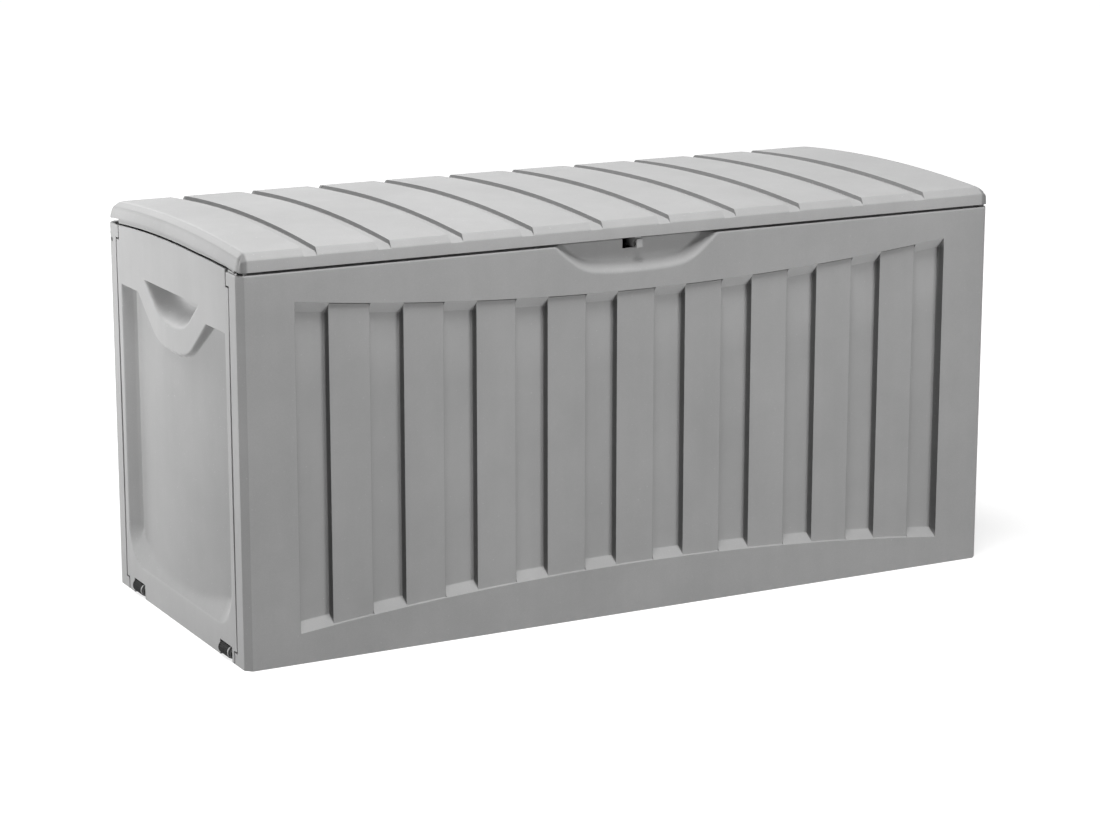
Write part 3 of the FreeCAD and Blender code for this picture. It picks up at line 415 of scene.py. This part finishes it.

# Front panel: one moulding that wraps round both front corners, with a hand grip pressed into its upper edge
# and a slot for the lock. Nine slats stand between sunken fields, which end in ramps along two arcs.
# Painted shade darkens the slats' steep sides, and painted light brightens the fields' upper ramps and the
# fields just below them.
arc_radius, upper_edge, lower_edge = 4541.0, 470.5, 72.5
slat_count, slat_pitch, slat_width, recess_half = 9, 110.0, 60.0, 520.0
slat_sizes = {"Pitch": slat_pitch, "Slat width": slat_width, "Half length": recess_half,
              "Slats stand back": 4.0, "Fields stand back": 15.0, "Side": 0.5, "Fillet": 1.2, "Rounding": 1.2,
              "Arc radius": arc_radius, "Upper edge": upper_edge, "Lower edge": lower_edge,
              "Upper ramp": 16.0, "Lower ramp": 12.0,
              "Slat end": 0.7, "Slat end groove": 1.6, "Groove depth": 3.0}
slot_half, slot_foot, grip_half, grip_foot, flange_depth = 15, 527, 150, 485, 20
touch = 0.00005  # metres within which a point counts as on an edge


def sizes_tree(name, sizes):
    """A Geometry Nodes tree with one named input for each size, and the outputs that give them inside."""
    tree = bpy.data.node_groups.new(name, "GeometryNodeTree")
    tree.interface.new_socket("Shape", in_out="INPUT", socket_type="NodeSocketGeometry")
    tree.interface.new_socket("Shape", in_out="OUTPUT", socket_type="NodeSocketGeometry")
    for size in sizes:
        tree.interface.new_socket(size, in_out="INPUT", socket_type="NodeSocketFloat")
    return tree, tree.nodes.new("NodeGroupInput").outputs


def position(tree):
    """The x, y and z of each point."""
    place = tree.nodes.new("GeometryNodeInputPosition").outputs[0]
    return node(tree, "ShaderNodeSeparateXYZ", Vector=place).outputs


def share_of(tree, value, whole):
    """How much of the whole a value comes to, from 0 to 1."""
    return maths(tree, "MINIMUM", maths(tree, "MAXIMUM", maths(tree, "DIVIDE", value, whole), 0.0), 1.0)


def store_painted_shading(tree, shape, painted_shading):
    """Store the painted shade of each point, which paints light where it is below 0."""
    return node(tree, "GeometryNodeStoreNamedAttribute", {"data_type": "FLOAT", "domain": "POINT"},
                Geometry=shape, Name="painted_shading", Value=painted_shading).outputs[0]


def end_tree(tree, shape, material):
    """Close a tree: all of it real geometry, in its material."""
    real = node(tree, "GeometryNodeRealizeInstances", Geometry=shape)
    finished = node(tree, "GeometryNodeSetMaterial", Geometry=real.outputs[0], Material=material)
    node(tree, "NodeGroupOutput", Shape=finished.outputs[0])


def run_tree(thing, tree, sizes):
    """Shape a piece with a tree, its sizes given by name in millimetres, and settle it."""
    step = thing.modifiers.new(tree.name, "NODES")
    step.node_group = tree
    for socket in tree.interface.items_tree:
        if socket.name in sizes:
            step[socket.identifier] = sizes[socket.name] / 1000
    return settle(thing)


def slats_tree():
    """Sinks a flat sheet into slats and fields, with ramps above and below that follow the arcs."""
    tree, given = sizes_tree("slats", slat_sizes)
    place = position(tree)
    x, z = maths(tree, "ABSOLUTE", place["X"]), place["Z"]
    slats, fields, rounding = given["Slats stand back"], given["Fields stand back"], given["Rounding"]

    def sunk_side(distance, top, fall):
        """A steep side for over half of the fall, then a fillet that runs out level in the field."""
        steep_share = 0.68
        left = maths(tree, "SUBTRACT", 1.0, share_of(tree, distance, given["Fillet"]))
        fillet = maths(tree, "SUBTRACT", 1.0, maths(tree, "POWER", left, 2.0))
        fallen = maths(tree, "ADD", product(tree, share_of(tree, distance, given["Side"]), steep_share),
                       product(tree, fillet, 1 - steep_share))
        return maths(tree, "MULTIPLY_ADD", fallen, fall, top)

    nearest = product(tree, maths(tree, "ROUND", maths(tree, "DIVIDE", x, given["Pitch"])), given["Pitch"])
    from_slat = maths(tree, "SUBTRACT", maths(tree, "ABSOLUTE", maths(tree, "SUBTRACT", x, nearest)),
                      product(tree, given["Slat width"], 0.5))
    on_slat = maths(tree, "LESS_THAN", from_slat, 0.0)
    on_field = maths(tree, "GREATER_THAN", from_slat, given["Side"])
    within = maths(tree, "SUBTRACT", given["Half length"], x)
    inside = maths(tree, "MINIMUM", x, given["Half length"])
    rise = maths(tree, "SQRT", maths(tree, "SUBTRACT", maths(tree, "POWER", given["Arc radius"], 2.0),
                                     maths(tree, "POWER", inside, 2.0)))
    sag = maths(tree, "SUBTRACT", given["Arc radius"], rise)
    upper = maths(tree, "SUBTRACT", maths(tree, "ADD", given["Upper edge"], sag), z)
    lower = maths(tree, "SUBTRACT", z, maths(tree, "SUBTRACT", given["Lower edge"], sag))

    depth = sunk_side(from_slat, slats, maths(tree, "SUBTRACT", fields, slats))
    steep = product(tree, on_slat, maths(tree, "DIVIDE", slats, given["Slat end"]))
    for distance, ramp in ((upper, "Upper ramp"), (lower, "Lower ramp")):
        slope = maths(tree, "MAXIMUM", maths(tree, "DIVIDE", fields, given[ramp]), steep)
        depth = maths(tree, "SMOOTH_MIN", depth, product(tree, distance, slope), rounding)
    below_edge = maths(tree, "GREATER_THAN", upper, 2 * touch)
    near_edge = maths(tree, "LESS_THAN", upper, given["Slat end groove"])
    depth = maths(tree, "ADD", depth, product(tree, on_slat, below_edge, near_edge, given["Groove depth"]))
    depth = maths(tree, "MINIMUM", depth, sunk_side(within, 0.0, fields))
    depth = maths(tree, "MAXIMUM", depth, 0.0)

    # Painted shade darkens the slats' steep sides; painted light brightens the upper ramps and the fields
    # just below them.
    painted_side_shade, painted_ramp_light, painted_field_light, field_reach = 4.6, -2.5, -1.5, 1.5
    past_side = share_of(tree, maths(tree, "SUBTRACT", from_slat, given["Side"]), given["Fillet"])
    beside = maths(tree, "GREATER_THAN", from_slat, -touch)
    side = product(tree, maths(tree, "SUBTRACT", 1.0, past_side), beside,
                   share_of(tree, upper, given["Upper ramp"]), share_of(tree, lower, given["Lower ramp"]))
    above_foot = maths(tree, "SUBTRACT", given["Upper ramp"], upper)
    ramp = product(tree, share_of(tree, above_foot, given["Side"]), on_field,
                   maths(tree, "GREATER_THAN", upper, -touch), maths(tree, "GREATER_THAN", within, 0.0))
    high = product(tree, maths(tree, "LESS_THAN", upper, product(tree, given["Upper ramp"], field_reach)),
                   below_edge, on_field, maths(tree, "GREATER_THAN", within, given["Side"]))
    painted_light = maths(tree, "ADD", product(tree, ramp, painted_ramp_light), product(tree, high, painted_field_light))
    marked = store_painted_shading(tree, given["Shape"], maths(tree, "MULTIPLY_ADD", side, painted_side_shade, painted_light))
    sunk = node(tree, "GeometryNodeSetPosition", Geometry=marked,
                Offset=node(tree, "ShaderNodeCombineXYZ", Y=depth).outputs[0])
    end_tree(tree, sunk.outputs[0], panel_plastic)
    return tree


def sag(x):
    """How far the recess's arcs have left their middle height at x."""
    return arc_radius - np.sqrt(arc_radius ** 2 - np.minimum(np.abs(x), recess_half) ** 2)


def grip_depth(x, z):
    """The bowl of the hand grip: a sloping sill that leads to a flat wall."""
    wall_depth, sill_slope, inner_blend, rim_blend = 17.0, 1.42, 2.5, 1.4
    inside = -bowl(x, z, [(130.4, 541), (111, 520), (80, 501), (60, 498)], 9.0)
    pressed = smooth_min(inside * sill_slope, wall_depth + 0.0 * x, inner_blend)
    return smooth_max(pressed, 0.0 * x, rim_blend)


def front_columns():
    """The sheet's columns as x, y, the way in, and how deep the upper edge's flange goes in there."""
    wrap = [(-600, -205, 1, 0, 3), (-600, -215, 1, 0, 3), (-600, -236.2, 1, 0, 3),
            (-599.8, -236.9, 0.92, 0.39, 4), (-599.35, -237.65, 0.71, 0.71, 8),
            (-591.65, -245.35, 0.71, 0.71, 12), (-590.9, -245.8, 0.39, 0.92, 18)]
    side_steps = (-8, -7, -5.5, -4, -2.8, -1.8, -1.1, -0.6, -0.3, 0, 0.3, 1.2)
    found = set()
    for field in range(slat_count + 1):
        middle = (field - slat_count / 2) * slat_pitch
        reach = (slat_pitch - slat_width) / 2
        found.add(middle)
        for step in side_steps:
            found.update((round(middle - reach - step, 3), round(middle + reach + step, 3)))
    closest = 0.75
    grip_columns = lines((-135, -slot_half, 2), (-slot_half, slot_half, 3), (slot_half, 135, 2))
    for x in grip_columns + [i * slat_pitch for i in range(-4, 5)]:
        if min(abs(x - other) for other in found) > closest or abs(x) == slot_half:
            found.add(x)
    face = [(x, front_y, 0, 1, flange_depth) for x in sorted(found | {-590.2, -560.0, 560.0, 590.2})]
    other_wrap = [(-x, y, -way_x, way_y, flange) for x, y, way_x, way_y, flange in wrap[::-1]]
    return np.array(wrap + face + other_wrap, float)


def front_sheet():
    """The flat sheet with its corners, its upper edge and the grip, before the slats are sunk into it.
    Its rows go up from the foot over both arcs to the grip, and the last ones turn in over the upper edge."""
    x, y, way_x, way_y, flange = front_columns().T
    low, high = lower_edge - sag(x), upper_edge + sag(x)
    low_steps = (-6, -2, -0.4, 0, 0.3, 0.8, 1.6, 4, 8, 10.5, 11.8, 12.6, 14, 18)
    high_steps = (-22, -17.5, -16.5, -15.8, -14.5, -10, -5, -2.6, -1.9, -1.5, -0.8, -0.5, 0, 0.4, 2)
    between, above, grip_from = high_steps[0] - low_steps[-1], high_steps[-1], 504
    rows = [0 * x + z for z in (0, 8, 16, 27)]
    rows += [low + step for step in low_steps]
    rows += [low + low_steps[-1] + share * (high - low + between) for share in (0.25, 0.5, 0.75)]
    rows += [high + step for step in high_steps]
    rows += [high + above + share * (grip_from - high) for share in np.linspace(0, 1, 13)[1:]]
    rows += [0 * x + z for z in lines((508, 523, 2), (523, 527, 2), (527, 539, 2))]
    inward = [0 * x] * len(rows)
    rows += [0 * x + wall_top - lower for lower in (1.0, 0.27, 0.0, 0.0)]
    inward += [0 * x + 0.27, 0 * x + 1.0, 0 * x + 2.0, flange]
    z, inward = np.stack(rows, axis=1), np.stack(inward, axis=1)
    in_x = x[:, None] + way_x[:, None] * inward
    in_grip = (np.abs(x) < grip_half)[:, None] & (z > grip_foot)
    pressed = np.where(in_grip, grip_depth(x[:, None] + 0 * z, z), 0)
    in_y = y[:, None] + way_y[:, None] * np.maximum(inward, np.minimum(inward + pressed, flange_depth))
    across = (x[1:] + x[:-1])[:, None] / 2
    up = (z[1:, 1:] + z[:-1, :-1]) / 2
    slot = (np.abs(across) < slot_half) & (up > slot_foot)
    tabs_from = -215
    between_tabs = (((y[1:] + y[:-1]) / 2) > tabs_from)[:, None] & (up > tab_low) & (up < tab_high)
    return surface("front", np.stack([in_x, in_y, z], axis=-1), ~slot & ~between_tabs)


front = moulding(run_tree(front_sheet(), slats_tree(), slat_sizes), panel_wall, panel_rim, panel_plastic)
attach(front, "chest")
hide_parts("front_panel", "front_grip")

# Lid: one moulding, arched from front to back, with ten stepped grooves across it, each with a notch at its
# front and back ends. It has bevels all round and a skirt with an inner lip. Under it are shallow pockets
# between thick bands and ribs.
lid_tone = 0.50
lid_plastic = moulded("lid_plastic", lid_tone)
lid_rim, lid_top, lid_foot = 0.6, 2860.0, 2837.5
lid_half_x, lid_half_y, lid_corner = 600.0, 246.0, 12.0
groove_sizes = {"Pitch": 107.8, "Run": 21.0, "Drop": 6.0, "Steep side": 0.8, "Grooved half": 530.0,
                "Arch centre": arch_centre, "Arch radius": lid_top, "Rounding": 1.0,
                "Half depth": lid_half_y, "Notch length": 20.0, "Notch drop": 10.0, "Notch side": 2.0}
groove_lines = [(i - 4.5) * groove_sizes["Pitch"] for i in range(10)]
pocket_half_x, pocket_half_y, pocket_before, pocket_after = 579.0, 198, -34, 3
pocket_ends = [-pocket_half_x]
pocket_ends += [line + side for line in groove_lines for side in (pocket_before, pocket_after)]
pocket_ends += [pocket_half_x]


def grooves_tree():
    """Lowers the arched top into grooves, each a long slope that ends at a steep side."""
    tree, given = sizes_tree("grooves", groove_sizes)
    x, y, z = position(tree)
    cell = maths(tree, "FLOOR", maths(tree, "DIVIDE", x, given["Pitch"]))
    from_line = maths(tree, "SUBTRACT", x, product(tree, maths(tree, "ADD", cell, 0.5), given["Pitch"]))
    from_start = maths(tree, "ADD", from_line, given["Run"])
    slope = product(tree, from_start, maths(tree, "DIVIDE", given["Drop"], given["Run"]))
    from_edge = maths(tree, "SUBTRACT", given["Half depth"], maths(tree, "ABSOLUTE", y))
    outward = maths(tree, "SUBTRACT", 1.0, maths(tree, "DIVIDE", from_edge, given["Notch length"]))
    opened = share_of(tree, from_start, given["Notch side"])
    slope = maths(tree, "MAXIMUM", slope, product(tree, outward, opened, given["Notch drop"]))
    steep = product(tree, from_line, -1.0, maths(tree, "DIVIDE", given["Drop"], given["Steep side"]))
    groove = maths(tree, "SMOOTH_MIN", slope, steep, given["Rounding"])
    groove = maths(tree, "SMOOTH_MAX", groove, 0.0, given["Rounding"])
    grooved = maths(tree, "LESS_THAN", maths(tree, "ABSOLUTE", x), given["Grooved half"])
    top = maths(tree, "SQRT", maths(tree, "SUBTRACT", maths(tree, "POWER", given["Arch radius"], 2.0),
                                    maths(tree, "POWER", y, 2.0)))
    top = maths(tree, "ADD", top, given["Arch centre"])
    lowered = maths(tree, "SUBTRACT", top, product(tree, groove, grooved))
    moved = maths(tree, "SUBTRACT", maths(tree, "MINIMUM", z, lowered), z)

    # Painted shade darkens the grooves' steep sides, added to what the sheet already carries.
    painted_side_shade, near_top = 3.0, 0.0004
    half_side = product(tree, given["Steep side"], 0.5)
    from_middle = maths(tree, "ABSOLUTE", maths(tree, "ADD", from_line, half_side))
    on_side = maths(tree, "LESS_THAN", from_middle, maths(tree, "ADD", half_side, touch))
    on_top = maths(tree, "GREATER_THAN", z, maths(tree, "SUBTRACT", lowered, near_top))
    before = node(tree, "GeometryNodeInputNamedAttribute", {"data_type": "FLOAT"}, Name="painted_shading").outputs[0]
    painted_shading = maths(tree, "MULTIPLY_ADD", product(tree, on_side, on_top, grooved), painted_side_shade, before)
    shaped = node(tree, "GeometryNodeSetPosition", Geometry=store_painted_shading(tree, given["Shape"], painted_shading),
                  Offset=node(tree, "ShaderNodeCombineXYZ", Z=moved).outputs[0])
    end_tree(tree, shaped.outputs[0], lid_plastic)
    return tree


def rounded_plan(x, y):
    """Turn the rectangle's corners into round ones."""
    over_x = np.clip(np.abs(x) - (lid_half_x - lid_corner), 0, None)
    over_y = np.clip(np.abs(y) - (lid_half_y - lid_corner), 0, None)
    scale = np.maximum(over_x, over_y) / np.maximum(np.hypot(over_x, over_y), 1e-9)
    scale = np.where((over_x > 0) & (over_y > 0), scale, 1.0)
    return (np.sign(x) * (np.abs(x) - over_x * (1 - scale)), np.sign(y) * (np.abs(y) - over_y * (1 - scale)))


def lid_top_height(x, y):
    """Height of the lid's outer surface before its grooves: the arch, with one bevel along the front and the
    back, and two along each end, a steep one at the skirt and a slanting one above it."""
    front_height, front_slope, front_blend = 560.3, 1.2, 11.0
    steep_drop, steep_slope, slant_drop, slant_slope, end_blend = 20.5, 3.2, 10.5, 0.75, 4.0
    top_blend, tuck, outermost = 2.5, 0.9, 0.01
    from_end, from_front = lid_half_x - np.abs(x), lid_half_y - np.abs(y)
    steep = arch(y, lid_top) - steep_drop + from_end * steep_slope
    slant = arch(y, lid_top) - slant_drop + from_end * slant_slope
    end_bevels = smooth_min(steep, slant, end_blend)
    bevels = smooth_min(front_height + from_front * front_slope, end_bevels, front_blend)
    height = smooth_min(arch(y, lid_top), bevels, top_blend)
    return height - np.where((from_end < outermost) | (from_front < outermost), tuck, 0)


def ceiling(x, y):
    """Height of the lid's underside: a thick arch with a shallow pocket between its ribs and bands."""
    thickness, pocket_depth, pocket_side = 10, 7, 0.6
    starts, ends = np.array(pocket_ends[::2]), np.array(pocket_ends[1::2])
    along = np.max(np.minimum(x[..., None] - starts, ends - x[..., None]), axis=-1)
    inside = np.minimum(along, pocket_half_y - np.abs(y))
    return arch(y, lid_top) - thickness + pocket_depth * np.clip(inside / pocket_side, 0, 1)


def lid_lines():
    """The closed lid's columns and rows: finer at its bevels, its grooves and its pockets' sides."""
    end_steps = (0, 0.8, 2, 3, 4, 5, 6, 7.5, 9, 11, 12.5, 14, 15.5, 17, 20.4, 21, 24, 30, 45)
    groove_steps = (-36, pocket_before, -33.4, -28, -23, -21.6, -21, -20, -19, -18, -14, -8, -4, -2.4, -1.2,
                    -0.8, -0.5, -0.25, 0, 0.4, 1.2, 2.4, pocket_after, 3.6)
    half_x = {lid_half_x - step for step in end_steps}
    x_lines = half_x | {-x for x in half_x} | {line + step for line in groove_lines for step in groove_steps}
    front_steps = lines((0, 0.8, 0.8), (2, 3, 1), (3.6, 12, 0.6), (13, 20, 2.3), (26, 36, 10),
                        (36.4, 47.4, 11), (48, 60, 12))
    half_y = {lid_half_y - step for step in front_steps}
    y_lines = half_y | {-y for y in half_y} | set(lines((-180, 180, 12)))
    return sorted(x_lines), sorted(y_lines)


def lid_shape():
    """The closed lid: its top, then rings that go in under its edge, over the skirt's foot, a step and the
    lip, to the underside. The lip stands further back along the front, so that the gap there is dark."""
    x_lines, y_lines = lid_lines()
    insets, front_insets, rings = (0, 0, 3.2, 3.2, 9, 9), (0, 0, 18, 18, 20, 20), 5
    x_base = np.array([-lid_half_x] * rings + x_lines + [lid_half_x] * rings)
    y_base = np.array([-lid_half_y] * rings + y_lines + [lid_half_y] * rings)
    ring_x = np.array(list(range(rings, 0, -1)) + [0] * len(x_lines) + list(range(1, rings + 1)))
    ring_y = np.array(list(range(rings, 0, -1)) + [0] * len(y_lines) + list(range(1, rings + 1)))
    ring = np.maximum(ring_x[:, None], ring_y[None, :])
    inset, front_inset = np.array(insets)[ring], np.array(front_insets)[ring]
    x = np.clip(x_base[:, None], inset - lid_half_x, lid_half_x - inset)
    y = np.clip(y_base[None, :], front_inset - lid_half_y, lid_half_y - inset)

    front_drop, without_lip = 2.2, 36
    lip_places, lip_drops = (-226, -205, -92), (5.0, 3.8, 7.0)
    foot = arch(y, lid_foot) - front_drop * np.clip((lid_corner - lid_half_y - y) / lid_corner, 0, 1)
    lip = foot - np.where(y < lid_half_y - without_lip, np.interp(y, lip_places, lip_drops), 0.0)
    z = np.choose(ring, [lid_top_height(x, y), foot, foot, lip, lip, ceiling(x, y)])
    # Painted shade darkens the lid's end bevels.
    bevel_places, bevel_painted_shades = (3.5, 5.0, 13.0, 14.5), (1.2, 2.8, 2.8, 0.0)
    painted_shade = np.interp(lid_half_x - np.abs(x), bevel_places, bevel_painted_shades)
    outside = surface("lid", np.stack([*rounded_plan(x, y), z], axis=-1), painted_shading=painted_shade)

    main = (slice(rings, -rings), slice(rings, -rings))
    x = np.clip(x[main], insets[-1] - lid_half_x, lid_half_x - insets[-1])
    y = np.clip(y[main], front_insets[-1] - lid_half_y, lid_half_y - insets[-1])
    below = np.stack([*rounded_plan(x, y), ceiling(x, y)], axis=-1)
    under = surface("lid_under", below[::-1], painted_shading=0 * below[..., 0])
    joined = bmesh.new()
    joined.from_mesh(outside.data)
    joined.from_mesh(under.data)
    bmesh.ops.remove_doubles(joined, verts=joined.verts, dist=1e-6)
    joined.to_mesh(outside.data)
    joined.free()
    bpy.data.objects.remove(under)
    return outside


lid = moulding(run_tree(lid_shape(), grooves_tree(), groove_sizes), 0, lid_rim, lid_plastic)
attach(lid, "lid")
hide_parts("lid_shell")

# Lock tab: a small moulding in the lid's plastic, screwed on under the lid's front edge. It hangs in the slot
# of the hand grip, and a padlock goes through its hole.
dress(["lock_tab"], moulded("edged_lid_plastic", lid_tone, rounding=0.0012))

# Hinge arms: four mouldings in a darker plastic, screwed on under the lid. The hinge rod runs through them,
# and they turn in slots of the back panel.
arm_plastic = moulded("arm_plastic", 0.2, rounding=0.001, rough=0.45)
dress(["hinge_arm_1", "hinge_arm_2", "hinge_arm_3", "hinge_arm_4"], arm_plastic)

# Rollers: small wheels of black plastic under the left end, with ribs along the tread, each on a pin with a
# round black head. The ribs grip the ground when the chest is tipped up and pulled along.
roller_tone = 0.004
roller_plastic = moulded("roller_plastic", roller_tone, rough=0.6)
dress(["front_roller_pin", "back_roller_pin"],
      moulded("edged_roller_plastic", roller_tone, rounding=0.001, rough=0.5))
tread_sizes = {"Tread radius": 10.0, "Rib height": 1.1, "Rib width": 1.3, "Width": 30.0, "Rim": 2.0,
               "Rim below": 0.2}
wheel_sides, ribs_round = 40, 20


def tread_tree():
    """A wheel about the Y axis: a core, a smooth rim at each side and ribs all round between them."""
    tree, given = sizes_tree("tread", tread_sizes)
    core = maths(tree, "SUBTRACT", given["Tread radius"], given["Rib height"])
    parts = node(tree, "GeometryNodeJoinGeometry")
    quarter = (math.pi / 2, 0, 0)

    def disc(radius, depth, offset):
        made = node(tree, "GeometryNodeMeshCylinder", Vertices=wheel_sides, Radius=radius, Depth=depth)
        placed = node(tree, "GeometryNodeTransform", Geometry=made.outputs["Mesh"], Rotation=quarter,
                      Translation=node(tree, "ShaderNodeCombineXYZ", Y=offset).outputs[0])
        tree.links.new(placed.outputs[0], parts.inputs[0])

    disc(core, given["Width"], 0.0)
    aside = product(tree, maths(tree, "SUBTRACT", given["Width"], given["Rim"]), 0.5)
    rim_radius = maths(tree, "SUBTRACT", given["Tread radius"], given["Rim below"])
    for side in (-1, 1):
        disc(rim_radius, given["Rim"], product(tree, aside, side))
    ring = node(tree, "GeometryNodeMeshCircle", Vertices=ribs_round, Radius=core)
    standing = node(tree, "GeometryNodeTransform", Geometry=ring.outputs[0], Rotation=quarter)
    size = node(tree, "ShaderNodeCombineXYZ", X=product(tree, given["Rib height"], 2.0), Y=given["Width"],
                Z=given["Rib width"])
    bar = node(tree, "GeometryNodeMeshCube", Size=size.outputs[0])
    number = tree.nodes.new("GeometryNodeInputIndex").outputs[0]
    turn = product(tree, number, -2 * math.pi / ribs_round)
    ribs = node(tree, "GeometryNodeInstanceOnPoints", Points=standing.outputs[0],
                Instance=bar.outputs["Mesh"], Rotation=node(tree, "ShaderNodeCombineXYZ", Y=turn).outputs[0])
    tree.links.new(ribs.outputs[0], parts.inputs[0])
    end_tree(tree, parts.outputs[0], roller_plastic)
    return tree


tread = tread_tree()
for name, middle in roller_places.items():
    wheel = bpy.data.objects.new(name + "_tread", bpy.data.meshes.new(name + "_tread"))
    bpy.context.scene.collection.objects.link(wheel)
    run_tree(wheel, tread, tread_sizes)
    wheel.data.transform(Matrix.Translation((axle_x / 1000, middle / 1000, axle_z / 1000)))
    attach(wheel, name)
    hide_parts(name)

# Hinge rod and screws: drawn steel, faintly streaked and spotted. The screws have a dull zinc coat. The rod
# is blackened, and its end shows as a dark dot high on the rear corner.
def drawn_steel(name, tone, metallic):
    """Steel with fine streaks along its length."""
    streak_share, rough_share, least_rough = 0.3, 0.3, 0.22
    made, tree = new_material(name)
    spot = node(tree, "ShaderNodeTexCoord").outputs["Object"]
    stretched = node(tree, "ShaderNodeMapping", Vector=spot, Scale=(60.0, 900.0, 900.0))
    streak = node(tree, "ShaderNodeTexNoise", Vector=stretched.outputs[0], Scale=1.0, Detail=4.0)
    dull = node(tree, "ShaderNodeTexNoise", Vector=spot, Scale=180.0, Detail=3.0)
    streaked = maths(tree, "MULTIPLY_ADD", streak.outputs["Fac"], streak_share, 1 - streak_share / 2)
    shade = product(tree, streaked, tone)
    grey = node(tree, "ShaderNodeCombineColor", Red=shade, Green=shade, Blue=shade)
    relief = node(tree, "ShaderNodeBump", Strength=0.2, Distance=0.0002, Height=streak.outputs["Fac"])
    skin = node(tree, "ShaderNodeBsdfPrincipled", Base_Color=grey.outputs[0], Normal=relief.outputs[0],
                Roughness=maths(tree, "MULTIPLY_ADD", dull.outputs["Fac"], rough_share, least_rough))
    skin.inputs["Metallic"].default_value = metallic
    node(tree, "ShaderNodeOutputMaterial", Surface=skin.outputs[0])
    return made


black_steel = drawn_steel("black_steel", 0.02, metallic=0.0)
dress(["hinge_rod"], black_steel)
zinc_steel = drawn_steel("steel", 0.52, metallic=1.0)
dress(["corner_screws", "floor_screws", "hinge_arm_screws", "lock_tab_screws"], zinc_steel)
